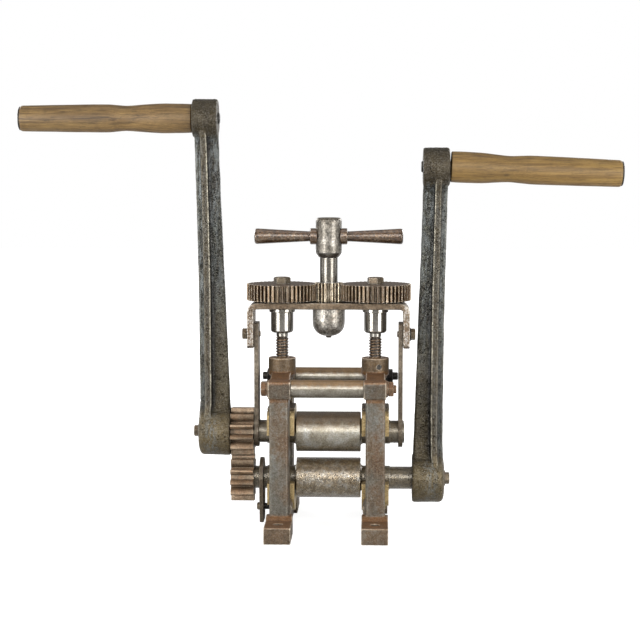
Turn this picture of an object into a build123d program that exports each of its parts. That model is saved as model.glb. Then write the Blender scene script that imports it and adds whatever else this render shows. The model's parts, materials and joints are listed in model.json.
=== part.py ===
from build123d import *
import math
import os
from types import SimpleNamespace

# Hand-cranked two-roll sheet rolling mill. Millimetres. X to the right, Y to the
# back, Z up. Origin on the bench plane, midway between the two side frames, under
# the roll and screw axes. side is +1 on the right and -1 on the left; end is +1 at
# the back and -1 at the front. Cutters run past the faces they open.

# ---- driving dimensions ----------------------------------------------------------
# Screw gears and pinion. The pinion stands midway, so the mesh sets the screw axes.
gear_module = 1.75
screw_teeth = 48
pinion_teeth = 18
screw_x = gear_module * (screw_teeth + pinion_teeth) / 2
screw_gear_z0 = 281.5
screw_gear_z1 = 301.5

# Side frames
post_in = 46.5           # inner and outer faces of a post
post_out = 69.9
window_half_y = 32.0     # bearing window
window_z0 = 26.0
window_z1 = 160.0
boss_top_z = 210.0       # threaded top boss
nut_r = 10.0             # bronze screw nut, outside

# Rolls
roll_r = 25.0
roll_half_len = 40.0
roll_gap = 8.0           # opening as drawn
lower_z = 59.0           # roll axes
upper_z = lower_z + 2 * roll_r + roll_gap
journal_r = 15.0
journal_end = 76.0
shaft_r = 14.0
spigot_r = 11.0          # reduced shaft end inside each crank hub
key_size = 6.0           # square keys of the roll gears and cranks
run_clear = 0.06         # radial clearance of running fits
roll_gear_x0 = -121.0
roll_gear_x1 = -92.5

# Pressure screws
screw_r = 8.0
screw_tip_z = 149.6
plate_journal_r = 10.0   # screw where it turns in the bridge plate

# Bridge plate and its straps
plate_z0 = 271.0
plate_t = 8.0
plate_half_x = 100.0
plate_half_y = 22.0
ear_bolt_z = 239.0
ear_bolt_r = 4.0
strap_x0 = 86.5
strap_t = 5.0

# T handle
tee_z = 360.0
bar_spigot_x = 3.0       # where each bar's spigot ends, from the shaft axis
bar_spigot_r = 5.0
bar_seat_x = 14.0        # where each bar's shoulder seats
bar_shoulder_r = 10.0

# Cranks. Each pair of faces is named by nearness to the frames: in, then out.
# outer and inner are the (x, z) edges of the arm, bottom to top.
spindle_r = 7.0
left_boss_z = 504.5
right_boss_z = 445.5
left_arm = SimpleNamespace(
    side=-1, hub_z=upper_z, hub_in=-121.6, hub_out=-161.0,
    boss_z=left_boss_z, boss_in=-136.0, boss_out=-167.0,
    shaft_end=-153.0, bolt_tip=-135.0, bolt_turn=12,
    outer=[(-160.0, upper_z), (-160.3, 200), (-160.5, 294),
           (-162.4, 390), (-164.7, 480), (-165.3, left_boss_z)],
    inner=[(-122.6, upper_z), (-122.8, 151), (-128.4, 294),
           (-132.6, 390), (-135.8, 480), (-136.4, left_boss_z)],
)
right_arm = SimpleNamespace(
    side=1, hub_z=lower_z, hub_in=104.0, hub_out=143.5,
    boss_z=right_boss_z, boss_in=115.5, boss_out=148.0,
    shaft_end=136.0, bolt_tip=119.0, bolt_turn=40,
    outer=[(141.6, lower_z), (142.0, 100), (141.9, 180),
           (142.8, 281), (145.2, 380), (146.4, right_boss_z)],
    inner=[(104.8, lower_z), (105.2, 93), (107.6, 170),
           (111.3, 281), (114.4, 370), (116.6, right_boss_z)],
)

os.makedirs("parts", exist_ok=True)


# ---- helpers ---------------------------------------------------------------------
def rod_x(radius, x_from, x_to, y=0.0, z=0.0):
    place = Pos((x_from + x_to) / 2, y, z) * Rot(0, 90, 0)
    return place * Cylinder(radius, abs(x_to - x_from))


def rod_z(radius, z_from, z_to, x=0.0, y=0.0):
    return Pos(x, y, (z_from + z_to) / 2) * Cylinder(radius, abs(z_to - z_from))


def tube_x(outer_r, bore_r, x_from, x_to, y, z):
    """Washer or spacer along X."""
    low, high = sorted((x_from, x_to))
    return rod_x(outer_r, low, high, y, z) - rod_x(bore_r, low - 1, high + 1, y, z)


def block(x0, x1, y0, y1, z0, z1):
    return Pos((x0 + x1) / 2, (y0 + y1) / 2, (z0 + z1) / 2) * Box(
        abs(x1 - x0), abs(y1 - y0), abs(z1 - z0)
    )


def polygon(points):
    return make_face(Polyline(*points, close=True))


def turned_x(profile, y=0.0, z=0.0):
    """Solid of revolution about an X axis from (x, radius) points."""
    face = polygon([(x, radius, 0) for x, radius in profile])
    return Pos(0, y, z) * revolve(face, Axis.X)


def turned_z(profile, x=0.0, y=0.0):
    """Solid of revolution about a Z axis from (radius, z) points."""
    face = polygon([(radius, 0, z) for radius, z in profile])
    return Pos(x, y, 0) * revolve(face, Axis.Z)


def prism_x(points, x_from, x_to):
    """Prism along X of a (y, z) polygon."""
    low, high = sorted((x_from, x_to))
    return extrude(polygon([(low, y, z) for y, z in points]), amount=high - low, dir=(1, 0, 0))


def prism_y(points, y_from, y_to):
    """Prism along Y of an (x, z) polygon."""
    low, high = sorted((y_from, y_to))
    return extrude(polygon([(x, low, z) for x, z in points]), amount=high - low, dir=(0, 1, 0))


def prism_z(points, z_from, z_to):
    """Prism along Z of an (x, y) polygon."""
    face = polygon([(x, y, z_from) for x, y in points])
    return extrude(face, amount=z_to - z_from, dir=(0, 0, 1))


def hexagon(across, centre, turn):
    """Corners of a hexagon of given width across flats, turned by turn degrees."""
    corner_r = across / math.sqrt(3)
    angles = [math.radians(turn + 60 * k) for k in range(6)]
    return [
        (centre[0] + corner_r * math.cos(a), centre[1] + corner_r * math.sin(a)) for a in angles
    ]


def hex_x(across, x_from, x_to, y, z, turn):
    """Hexagon along X, corners chamfered at both faces."""
    low, high = sorted((x_from, x_to))
    face_r = across / 2 * 1.02
    full_r = across / math.sqrt(3) * 1.02
    envelope = turned_x(
        [(low, 0), (low, face_r), (low + 1.2, full_r),
         (high - 1.2, full_r), (high, face_r), (high, 0)],
        y, z,
    )
    return prism_x(hexagon(across, (y, z), turn), low, high) & envelope


def hex_z(across, z_from, z_to, x, y, turn):
    """Hexagon along Z, corners chamfered at the top."""
    full_r = across / math.sqrt(3) * 1.02
    envelope = turned_z(
        [(0, z_from), (full_r, z_from), (full_r, z_to - 1.4), (across / 2 * 1.02, z_to), (0, z_to)],
        x, y,
    )
    return prism_z(hexagon(across, (x, y), turn), z_from, z_to) & envelope


def involute(angle):
    return math.tan(angle) - angle


def gear_outline(teeth, pitch_r, pressure_deg, root_r, tip_r, lash, first_deg, steps):
    """Points of an involute gear, the first tooth's centre at first_deg.

    Flanks run radially below the base circle; lash thins each tooth at the pitch circle.
    """
    pressure = math.radians(pressure_deg)
    base_r = pitch_r * math.cos(pressure)

    def half_angle(radius):
        local_pressure = math.acos(base_r / max(radius, base_r))
        return (math.pi / teeth / 2 + involute(pressure) - involute(local_pressure)
                - lash / 2 / pitch_r)

    radii = [root_r + (tip_r - root_r) * k / steps for k in range(steps + 1)]
    polar = []
    for tooth in range(teeth):
        middle = math.radians(first_deg) + 2 * math.pi * tooth / teeth
        polar += [(radius, middle - half_angle(radius)) for radius in radii]
        polar += [(radius, middle + half_angle(radius)) for radius in reversed(radii)]
    return [(radius * math.cos(a), radius * math.sin(a)) for radius, a in polar]


def screw_drive_outline(teeth, first_deg, steps):
    """Outline of a screw gear or the pinion, in standard proportions."""
    return gear_outline(
        teeth, pitch_r=gear_module * teeth / 2, pressure_deg=20,
        root_r=gear_module * (teeth / 2 - 1.25), tip_r=gear_module * (teeth / 2 + 1),
        lash=0.12, first_deg=first_deg, steps=steps,
    )


def mirrored(shape):
    """The same piece on the other side of the mill."""
    return mirror(shape, about=Plane.YZ)


def save(name, *shapes):
    solids = [solid for shape in shapes for solid in shape.solids()]
    piece = solids[0] if len(solids) == 1 else Compound(children=solids)
    export_step(piece, "parts/" + name + ".step")


def save_pair(name, right_piece):
    save("right_" + name, right_piece)
    save("left_" + name, mirrored(right_piece))


# ---- side frames -----------------------------------------------------------------
frame_half_y = 72.0
beam_side_z = 187.5      # top beam height at the front and rear corners
beam_mid_z = 192.0       # top beam height at the boss
boss_r = 17.0
foot_in = 41.9           # inner and outer faces of a foot
foot_out = 73.9
foot_half_y = 118.0
foot_h = 20.0
foot_root_h = foot_h + 5  # raised root against the post
foot_hole_y = 96.0       # bench bolt holes
foot_hole_r = 5.5
corbel_y = 38.8          # where each corbel starts

tie_y = 61.0
tie_z = 178.8
tie_bolt_r = 5.0
tie_hole_r = tie_bolt_r + 0.3
tie_in = 44.0            # tie-bolt boss faces
tie_out = 71.2

grub_r = 3.0             # screw locking each nut, let into the boss radially
grub_turn = 17.0         # degrees round the boss from its front
grub_z = 199.6
keeper_screw_z = 22.0
keeper_screw_r = 3.0


def side_frame():
    """Right frame without its small screw holes."""
    half = [(frame_half_y, 0), (frame_half_y, beam_side_z - 2), (frame_half_y - 2, beam_side_z),
            (48, beam_side_z + 0.8), (19, beam_mid_z)]
    body = prism_x([(-y, z) for y, z in half] + half[::-1], post_in, post_out)
    edges = [
        e for e in body.edges()
        if abs(abs(e.center().Y) - frame_half_y) < 0.01 and e.length > 100
    ]
    body = chamfer(edges, 1.8)
    for end in (-1, 1):
        # corbel on the inner side of each post, under the bearing
        body += prism_y(
            [(post_in + 2, 43), (post_in, 42), (post_in - 3.6, 34), (post_in - 0.6, 11),
             (post_in + 2, 9)],
            end * corbel_y, end * (frame_half_y - 6),
        )
    for end in (-1, 1):
        # tie-bolt boss on the shoulder
        boss = block(tie_in, tie_out, end * 48, end * (frame_half_y + 2.6),
                     tie_z - 11.2, tie_z + 9.6)
        body += fillet(boss.edges().filter_by(Axis.X), 2.5)
        # foot, running in under the post
        foot = [(60, 0), (foot_half_y, 0), (foot_half_y, foot_h - 1), (foot_half_y - 1, foot_h),
                (frame_half_y + 6, foot_h), (frame_half_y - 1, foot_root_h), (60, foot_root_h)]
        body += prism_x([(end * y, z) for y, z in foot], foot_in, foot_out)
        foot_mid = (foot_in + foot_out) / 2
        body -= rod_z(foot_hole_r, -1, foot_root_h + 1, foot_mid, end * foot_hole_y)
        body -= rod_x(tie_hole_r, post_in - 10, post_out + 10, end * tie_y, tie_z)
    body -= block(post_in - 9, post_out + 9, -window_half_y, window_half_y, window_z0, window_z1)
    # top boss, and the flare under it
    body += rod_z(boss_r, beam_mid_z - 3, boss_top_z, screw_x)
    body += turned_z(
        [(0, 176), (11.6, 176), (12.6, 182), (boss_r, beam_mid_z - 1), (boss_r, beam_mid_z + 1),
         (0, beam_mid_z + 1)],
        screw_x,
    )
    # bore for the screw nut
    return body - rod_z(nut_r, window_z1 - 1, boss_top_z + 1, screw_x)


def on_boss():
    """Placement on the screw axis with -Y turned to the lock screw's direction."""
    return Pos(screw_x, 0, 0) * Rot(0, 0, grub_turn)


def grub_rod(near, far):
    """Rod on the lock screw's line, between two distances from the screw axis."""
    return on_boss() * Pos(0, -(near + far) / 2, grub_z) * Rot(90, 0, 0) * Cylinder(
        grub_r, far - near
    )


def nut_lock_screw():
    slot = block(-0.6, 0.6, -18, -15.2, grub_z - 4, grub_z + 4)
    return grub_rod(nut_r + 0.02, 16.6) - on_boss() * slot


# The lock screw is at the front of the right boss and at the back of the left one.
grub_hole = grub_rod(9, 30)
save("right_side_frame", side_frame() - grub_hole)
save(
    "left_side_frame",
    mirrored(side_frame() - mirror(grub_hole, about=Plane.XZ))
    - rod_x(keeper_screw_r, -75, -60, 0, keeper_screw_z),
)
lock_screw = nut_lock_screw()
save("nut_lock_screws", lock_screw, mirror(mirrored(lock_screw), about=Plane.XZ))

nut_bore_r = screw_r + 0.05
save_pair("screw_nut", turned_z(
    [(nut_bore_r, window_z1 + 0.4), (nut_r, window_z1 + 0.4), (nut_r, boss_top_z + 0.2),
     (9.2, boss_top_z + 0.2), (nut_bore_r, boss_top_z - 1.0)],
    screw_x,
))

# ---- tie bars --------------------------------------------------------------------
tie_spacer_r = 11.0
tie_washer_r = 10.2
tie_across = 17.0        # nuts and head, across flats
tie_seat = tie_out + 2   # outer face of a washer


def tie_spacer(end):
    return tube_x(tie_spacer_r, tie_hole_r, -tie_in, tie_in, end * tie_y, tie_z)


def tie_washer(side, end):
    return tube_x(tie_washer_r, tie_bolt_r, side * tie_out, side * tie_seat, end * tie_y, tie_z)


def tie_nut(side, end):
    y = end * tie_y
    body = hex_x(tie_across, side * tie_seat, side * (tie_seat + 7), y, tie_z, 30)
    return body - rod_x(tie_bolt_r, side * tie_out, side * (tie_out + 12), y, tie_z)


def front_tie_bolt():
    """Bolt with its head on the left."""
    head = hex_x(tie_across, -tie_seat - 6.8, -tie_seat, -tie_y, tie_z, 30)
    return head + rod_x(tie_bolt_r, -tie_seat - 1, 83.6, -tie_y, tie_z)


save("front_tie_spacer", tie_spacer(-1))
save("rear_tie_spacer", tie_spacer(1))
# the rear bolt is a stud with a nut at each end
save("tie_bolts", front_tie_bolt(), rod_x(tie_bolt_r, -86.0, 86.6, tie_y, tie_z))
save("tie_washers", *[tie_washer(side, end) for end in (-1, 1) for side in (-1, 1)])
save("tie_nuts", tie_nut(1, -1), tie_nut(1, 1), tie_nut(-1, 1))

# ---- brass half-bearings and pressure pads ---------------------------------------
brass_half_y = window_half_y - 0.08
brass_in = 41.5          # outer faces of the two flanges
brass_out = 74.8
flange_gap = 0.1         # between each flange and the post
flange_half_y = 36.0
brass_top = 146.2
lower_brass_top = lower_z - 2


def journal_bore(axis_z):
    return rod_x(journal_r + run_clear, post_in - 20, post_out + 20, 0, axis_z)


def lower_brass():
    core = block(post_in - 1, post_out + 1, -brass_half_y, brass_half_y,
                 window_z0, lower_brass_top)
    # the inner flange is part of a disc, the outer one is a rounded block
    disc = rod_x(40.5, brass_in, post_in - flange_gap, 0, lower_z)
    disc &= block(brass_in, post_in, -35, 35, 0, lower_brass_top)
    flange = block(post_out + flange_gap, brass_out, -flange_half_y, flange_half_y,
                   window_z0 + 3, lower_brass_top)
    bottom_edges = flange.edges().filter_by(Axis.X).filter_by(lambda e: e.center().Z < 31)
    flange = fillet(bottom_edges, 10)
    return core + disc + flange - journal_bore(lower_z)


def upper_brass():
    body = block(post_in - 1, post_out + 1, -brass_half_y, brass_half_y, upper_z, brass_top)
    for x0, x1 in ((brass_in, post_in - flange_gap), (post_out + flange_gap, brass_out)):
        flange = block(x0, x1, -flange_half_y, flange_half_y, upper_z, brass_top)
        top_edges = flange.edges().filter_by(Axis.X).filter_by(lambda e: e.center().Z > 140)
        body += fillet(top_edges, 8)
    return body - journal_bore(upper_z)


def pressure_pad():
    pad = block(brass_in - 0.4, brass_out + 0.4, -22, 22, brass_top, screw_tip_z)
    return chamfer(pad.edges().filter_by(Axis.Y), 1.0)


save_pair("lower_bearing", lower_brass())
save_pair("upper_bearing", upper_brass())
pad = pressure_pad()
save("pressure_pads", pad, mirrored(pad))

# ---- rolls and their keys --------------------------------------------------------
crank_bolt_r = 4.0
# (x, radius) of the roll and journals, shared by both rolls
roll_profile = [
    (-journal_end, shaft_r), (-journal_end, journal_r), (-roll_half_len, journal_r),
    (-roll_half_len, roll_r - 1), (-roll_half_len + 1, roll_r),
    (roll_half_len - 1, roll_r), (roll_half_len, roll_r - 1),
    (roll_half_len, journal_r), (journal_end, journal_r), (journal_end, shaft_r),
]
upper_profile = [
    (left_arm.shaft_end, 0), (left_arm.shaft_end, spigot_r), (roll_gear_x0, spigot_r),
    (roll_gear_x0, shaft_r), *roll_profile, (93.0, shaft_r), (94.0, shaft_r - 1), (94.0, 0),
]
lower_profile = [
    (roll_gear_x0, 0), (roll_gear_x0, shaft_r - 0.8), (roll_gear_x0 + 0.8, shaft_r),
    *roll_profile, (right_arm.hub_in, shaft_r), (right_arm.hub_in, spigot_r),
    (right_arm.shaft_end, spigot_r), (right_arm.shaft_end, 0),
]


def shaft_key(x_from, x_to, radius, axis_z):
    """Key on top of a shaft, half sunk; it also cuts its own seat."""
    top = axis_z + radius
    return block(x_from, x_to, -key_size / 2, key_size / 2, top - key_size / 2, top + key_size / 2)


def roll_keys(arm):
    """Roll gear key and crank key of the roll that carries this crank."""
    end, side = arm.shaft_end, arm.side
    return [
        shaft_key(roll_gear_x0 + 3, roll_gear_x1 - 3, shaft_r, arm.hub_z),
        shaft_key(end - side * 27, end - side * 3, spigot_r, arm.hub_z),
    ]


def roll(profile, arm):
    body = turned_x(profile, 0, arm.hub_z)
    for key in roll_keys(arm):
        body -= key
    # hole for the crank bolt
    return body - rod_x(crank_bolt_r, arm.shaft_end + arm.side, arm.bolt_tip - arm.side,
                        0, arm.hub_z)


for level, profile, arm in (
    ("upper", upper_profile, left_arm), ("lower", lower_profile, right_arm)
):
    save(level + "_roll", roll(profile, arm))
    save(level + "_roll_keys", *roll_keys(arm))


def roll_gear(first_deg, axis_z):
    """Long-tooth gear, in mesh as the gap opens. Angles run from +Y towards +Z."""
    outline = gear_outline(
        12, pitch_r=50.25 / 2,  # half the closest centre distance
        pressure_deg=14.5, root_r=19.7, tip_r=30.25, lash=0.2, first_deg=first_deg, steps=5,
    )
    body = prism_x([(y, axis_z + z) for y, z in outline], roll_gear_x0, roll_gear_x1)
    body -= rod_x(shaft_r, roll_gear_x0 - 1, roll_gear_x1 + 1, 0, axis_z)
    return body - block(roll_gear_x0 + 3, roll_gear_x1 + 1, -key_size / 2, key_size / 2,
                        axis_z, axis_z + shaft_r + key_size / 2)


# The upper gear's tooth stands 9 degrees behind straight down, the lower gear's
# 6 degrees in front of straight up.
save("upper_roll_gear", roll_gear(-90 + 9, upper_z))
save("lower_roll_gear", roll_gear(90 + 6, lower_z))

# ---- cranks ----------------------------------------------------------------------
hub_r = 30.0
grip_boss_r = 23.3
web_half_y = 6.5
rib_half_depths = [20, 19, 17.5, 16, 15, 15]  # at the stations of the outer edge
crank_washer_t = 1.6


def rib_section(side, station, depth):
    """Level section of the rib, 8 to 16 mm in from the arm's outer edge."""
    x, z = station
    near, far = x - side * 16.0, x - side * 8.0
    return polygon([(near, -depth, z), (far, -depth, z), (far, depth, z), (near, depth, z)])


def crank(arm):
    side, hub_in, hub_out = arm.side, arm.hub_in, arm.hub_out
    hub = turned_x(
        [(hub_in, 0), (hub_in, hub_r - 1), (hub_in + side, hub_r),
         (hub_out - side * 2.5, hub_r - 0.8), (hub_out - side * 0.5, hub_r - 4),
         (hub_out, hub_r - 10), (hub_out, 0)],
        0, arm.hub_z,
    )
    low, high = sorted((arm.boss_in, arm.boss_out))
    boss = turned_x(
        [(low, 0), (low, grip_boss_r - 1.5), (low + 1.5, grip_boss_r),
         (high - 1.5, grip_boss_r), (high, grip_boss_r - 1.5), (high, 0)],
        0, arm.boss_z,
    )
    # wide wing plate, thin from front to back
    web = prism_y(arm.outer + arm.inner[::-1], -web_half_y, web_half_y)
    # narrow rib, deep from front to back, nearer the outer edge
    sections = [
        rib_section(side, station, depth) for station, depth in zip(arm.outer, rib_half_depths)
    ]
    rib = loft(sections[:2], ruled=True)
    for k in range(1, len(sections) - 1):
        rib += loft(sections[k:k + 2], ruled=True)
    body = hub + boss + web + rib
    # shaft bore, keyway, bolt hole and spindle hole
    body -= rod_x(spigot_r, arm.shaft_end, hub_in - side * 4, 0, arm.hub_z)
    key_end = arm.shaft_end - side * 3
    body -= block(key_end, hub_in - side * 4, -key_size / 2, key_size / 2,
                  arm.hub_z, arm.hub_z + spigot_r + key_size / 2)
    body -= rod_x(crank_bolt_r + 0.2, key_end, hub_out + side * 6.5, 0, arm.hub_z)
    return body - rod_x(spindle_r, low - 10, high + 10, 0, arm.boss_z)


def crank_washer(arm):
    return tube_x(9.5, crank_bolt_r, arm.hub_out, arm.hub_out + arm.side * crank_washer_t,
                  0, arm.hub_z)


def crank_bolt(arm):
    seat = arm.hub_out + arm.side * crank_washer_t
    head = hex_x(13, seat, seat + arm.side * 5.4, 0, arm.hub_z, arm.bolt_turn)
    return head + rod_x(crank_bolt_r, seat + arm.side * 0.4, arm.bolt_tip, 0, arm.hub_z)


for name, arm in (("left", left_arm), ("right", right_arm)):
    save(name + "_crank", crank(arm))
    save(name + "_crank_washer", crank_washer(arm))
    save(name + "_crank_bolt", crank_bolt(arm))

# ---- grips and spindles ----------------------------------------------------------
left_end = -381.5
right_tilt = 2.3         # the right spindle is bent down by this many degrees
spindle_inset = 2.2      # spindle end standing inward of the crank boss

# (distance outward from the crank boss, radius) of the turned grips
left_grip_profile = [
    (0.4, 16.6), (1.4, 17.6), (20, 18.0), (38, 18.15), (58, 17.0), (80, 15.4),
    (93, 16.2), (106, 17.1), (140, 16.9), (180, 16.3), (210.6, 15.85), (212.2, 14.4),
]
right_grip_profile = [
    (1.4, 18.2), (2.4, 18.9), (20, 18.95), (40, 18.5), (58, 17.0), (73, 16.05),
    (88, 16.9), (104, 17.55), (140, 17.3), (180, 16.8), (208.0, 16.3), (209.6, 15.0),
]


def grip(profile):
    """Bored grip along +X, its side a spline between two short end chamfers."""
    bore = spindle_r + run_clear
    first, last = profile[0], profile[-1]
    edges = [
        Line((first[0], bore), first),
        Line(first, profile[1]),
        Spline(*profile[1:-1]),
        Line(profile[-2], last),
        Line(last, (last[0], bore)),
        Line((last[0], bore), (first[0], bore)),
    ]
    return revolve(make_face(Curve() + edges), Axis.X)


def left_spindle():
    start = left_arm.boss_in + spindle_inset
    return turned_x(
        [(start, 0), (start, spindle_r - 1), (start - 1, spindle_r),
         (left_end + 2.2, spindle_r), (left_end + 2.2, 14.6), (left_end + 0.8, 14.6),
         (left_end, 13.4), (left_end, 0)],
        0, left_boss_z,
    )


right_bend = Pos(right_arm.boss_out, 0, right_boss_z)
right_tilted = right_bend * Rot(0, right_tilt, 0)


def right_spindle():
    """Straight through the boss, a ball at the bend, then the tilted length."""
    grip_end = right_grip_profile[-1][0]
    return (
        rod_x(spindle_r, right_arm.boss_in - spindle_inset, right_arm.boss_out, 0, right_boss_z)
        + right_bend * Sphere(spindle_r)
        + right_tilted * turned_x(
            [(0, 0), (0, spindle_r), (grip_end, spindle_r), (grip_end, 15.2),
             (211.0, 15.2), (211.8, 14.0), (211.8, 0)]
        )
    )


save("left_grip_spindle", left_spindle())
save("left_grip", Pos(left_arm.boss_out, 0, left_boss_z) * mirrored(grip(left_grip_profile)))
save("right_grip", right_tilted * grip(right_grip_profile))
save("right_grip_spindle", right_spindle())

# ---- bridge plate, straps and cup ------------------------------------------------
bend_r = 12.0            # outside radius of the plate's bends
ear_z = 223.0            # bottom of the ears
cup_mouth_r = 13.0
strap_top_z = 253.5
strap_half_y = 15.0
strap_eye_r = 19.0
ear_washer_t = 1.6
ear_washer_r = 8.5


def bridge_plate():
    """Flat plate with both ends bent down into ears; each bend has six facets."""
    def bend(radius):
        angles = [math.radians(90 * k / 6) for k in range(7)]
        return [
            (plate_half_x - bend_r + radius * math.sin(a),
             plate_z0 + plate_t - bend_r + radius * math.cos(a))
            for a in angles
        ]

    right = bend(bend_r) + [(plate_half_x, ear_z), (plate_half_x - plate_t, ear_z)]
    right += bend(bend_r - plate_t)[::-1]
    body = prism_y(right + [(-x, z) for x, z in reversed(right)], -plate_half_y, plate_half_y)
    ear_edges = [
        e for e in body.edges()
        if abs(e.center().Z - ear_z) < 0.01 and abs(abs(e.center().Y) - plate_half_y) < 0.01
    ]
    body = chamfer(ear_edges, 3)
    cut_z = (plate_z0 - 5, plate_z0 + plate_t + 5)
    for side in (-1, 1):
        body -= rod_z(plate_journal_r + run_clear, *cut_z, side * screw_x)
        body -= rod_x(ear_bolt_r, side * 80, side * 110, 0, ear_bolt_z)
    return body - rod_z(cup_mouth_r, *cut_z)


def strap(side):
    """Bar from the ear down to an eye round the upper roll's shaft."""
    x0, x1 = side * strap_x0, side * (strap_x0 + strap_t)
    body = block(x0, x1, -strap_half_y, strap_half_y, upper_z, strap_top_z)
    body += rod_x(strap_eye_r, x0, x1, 0, upper_z)
    body -= rod_x(shaft_r + run_clear, x0 - side, x1 + side, 0, upper_z)
    return body - rod_x(ear_bolt_r, x0 - side, x1 + side, 0, ear_bolt_z)


def ear_bolt(side):
    seat = plate_half_x + ear_washer_t
    head = hex_x(13, side * seat, side * (seat + 5.6), 0, ear_bolt_z, 10)
    return head + rod_x(ear_bolt_r, side * 84.5, side * (seat + 0.4), 0, ear_bolt_z)


def ear_washer(side, x_from, x_to):
    return tube_x(ear_washer_r, ear_bolt_r, side * x_from, side * x_to, 0, ear_bolt_z)


save("bridge_plate", bridge_plate())
save("bridge_straps", strap(-1), strap(1))
save("ear_bolts", ear_bolt(-1), ear_bolt(1))
# on each side a washer under the head, and a thin shim between ear and strap
ear_washers = []
for side in (-1, 1):
    ear_washers.append(ear_washer(side, plate_half_x, plate_half_x + ear_washer_t))
    ear_washers.append(ear_washer(side, strap_x0 + strap_t, plate_half_x - plate_t))
save("ear_washers", *ear_washers)

tee_journal_r = 9.0      # T shaft inside the cup
cup_bore_r = tee_journal_r + run_clear
save("pinion_cup", turned_z([
    (0, 234.4), (3.2, 234.4), (3.8, 236.2), (9.0, 237.2), (13.5, 239.6), (17.0, 243.2),
    (19.3, 248.0), (20.0, 253.5), (20.0, plate_z0), (cup_mouth_r, plate_z0),
    (cup_mouth_r, plate_z0 + plate_t), (cup_bore_r, plate_z0 + plate_t),
    (cup_bore_r, 246.0), (0, 246.0),
]))

# ---- T handle --------------------------------------------------------------------
tee_half = 91.5
pinion_z0 = 279.6
pinion_z1 = 303.0


def tee_shaft():
    """Shaft with the pinion cut on it and a socketed head for the two bars."""
    body = turned_z([
        (0, 246.4), (8, 246.4), (tee_journal_r, 247.4), (tee_journal_r, 279.3), (13, 279.3),
        (13, pinion_z1), (11, pinion_z1), (11, 334.5), (13.5, 335.8), (16, 339.5),
        (16, 380.6), (15.2, 382.4), (13.4, 383), (11.2, 383), (10.4, 381.4), (0, 381.4),
    ])
    body += prism_z(screw_drive_outline(pinion_teeth, 0, 4), pinion_z0, pinion_z1)
    for side in (-1, 1):
        body -= rod_x(bar_shoulder_r, side * bar_seat_x, side * 20, 0, tee_z)
        body -= rod_x(bar_spigot_r, side * bar_spigot_x, side * 16, 0, tee_z)
    return body


def tee_bar(side):
    profile = [
        (bar_spigot_x, 0), (bar_spigot_x, bar_spigot_r), (bar_seat_x, bar_spigot_r),
        (bar_seat_x, 9.4), (14.6, bar_shoulder_r), (22.2, bar_shoulder_r), (23.0, 9.4),
        (23.0, 6.2), (86.0, 9.55), (89.5, 9.7), (tee_half, 8.2), (tee_half, 0),
    ]
    return turned_x([(side * x, radius) for x, radius in profile], 0, tee_z)


save("tee_shaft", tee_shaft())
save("tee_bars", tee_bar(-1), tee_bar(1))

# ---- pressure screws and their gears ---------------------------------------------
screw_pitch = 3.5
screw_root_r = 6.75
screw_crest_r = screw_r - 0.05
screw_neck_r = 7.3       # plain neck under the collar
gear_seat_r = 8.0
gear_bolt_r = 5.0
gear_key_half_x = 2.5
gear_key_back_y = -5.4


def gear_key_block(front_y, z_from, z_to):
    return block(screw_x - gear_key_half_x, screw_x + gear_key_half_x,
                 front_y, gear_key_back_y, z_from, z_to)


def pressure_screw():
    """Right screw. The thread is drawn as separate rings at the pitch."""
    profile = [(0, screw_tip_z), (5.5, screw_tip_z), (5.5, 152.5), (screw_root_r, 153.0)]
    z = 153.4
    while z + screw_pitch < 236.6:
        profile += [(screw_root_r, z), (screw_crest_r, z + 1.0), (screw_crest_r, z + 2.0),
                    (screw_root_r, z + 3.0)]
        z += screw_pitch
    seat_top = screw_gear_z1 - 0.2
    profile += [
        (screw_root_r, 235.8), (screw_neck_r, 236.3), (screw_neck_r, 241.0), (12.6, 241.0),
        (14.0, 243.0), (14.0, 266.4), (16.0, 266.8), (16.0, plate_z0),
        (plate_journal_r, plate_z0), (plate_journal_r, screw_gear_z0),
        (gear_seat_r, screw_gear_z0), (gear_seat_r, seat_top), (0, seat_top),
    ]
    body = turned_z(profile, screw_x)
    body -= rod_z(gear_bolt_r, 278, 303, screw_x)
    return body - gear_key_block(-9, screw_gear_z0, 303)


def screw_gear():
    """Right gear; a tooth space faces along X to take the pinion's tooth."""
    outline = screw_drive_outline(screw_teeth, 180 / screw_teeth, 3)
    body = Pos(screw_x, 0, 0) * prism_z(outline, screw_gear_z0, screw_gear_z1)
    return body - rod_z(gear_seat_r, 270, 310, screw_x) - gear_key_block(-10, 270, 310)


def gear_bolt(side, turn):
    x = side * screw_x
    head = hex_z(18.5, screw_gear_z1, screw_gear_z1 + 8.2, x, 0, turn)
    return head + rod_z(gear_bolt_r, 279, screw_gear_z1 + 1, x)


save_pair("pressure_screw", pressure_screw())
save_pair("screw_gear", screw_gear())
gear_key = gear_key_block(-10, screw_gear_z0, 300)
save("screw_gear_key_right", gear_key)
save("screw_gear_key_left", mirrored(gear_key))
save("right_gear_bolt", gear_bolt(1, 12))
save("left_gear_bolt", gear_bolt(-1, 25))

# ---- keeper plate, on the left ---------------------------------------------------
keeper_x0 = -85.5
keeper_x1 = -80.5
keeper_eye_r = 25.0


def keeper_plate():
    """Plate hanging round the lower shaft, tapering to its foot."""
    body = rod_x(keeper_eye_r, keeper_x0, keeper_x1, 0, lower_z)
    body += prism_x(
        [(-keeper_eye_r, lower_z), (-15, 6), (-13, 4), (13, 4), (15, 6), (keeper_eye_r, lower_z)],
        keeper_x0, keeper_x1,
    )
    body -= rod_x(shaft_r + 0.5, keeper_x0 - 1, keeper_x1 + 1, 0, lower_z)
    return body - rod_x(keeper_screw_r, keeper_x0 - 1, keeper_x1 + 1, 0, keeper_screw_z)


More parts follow.
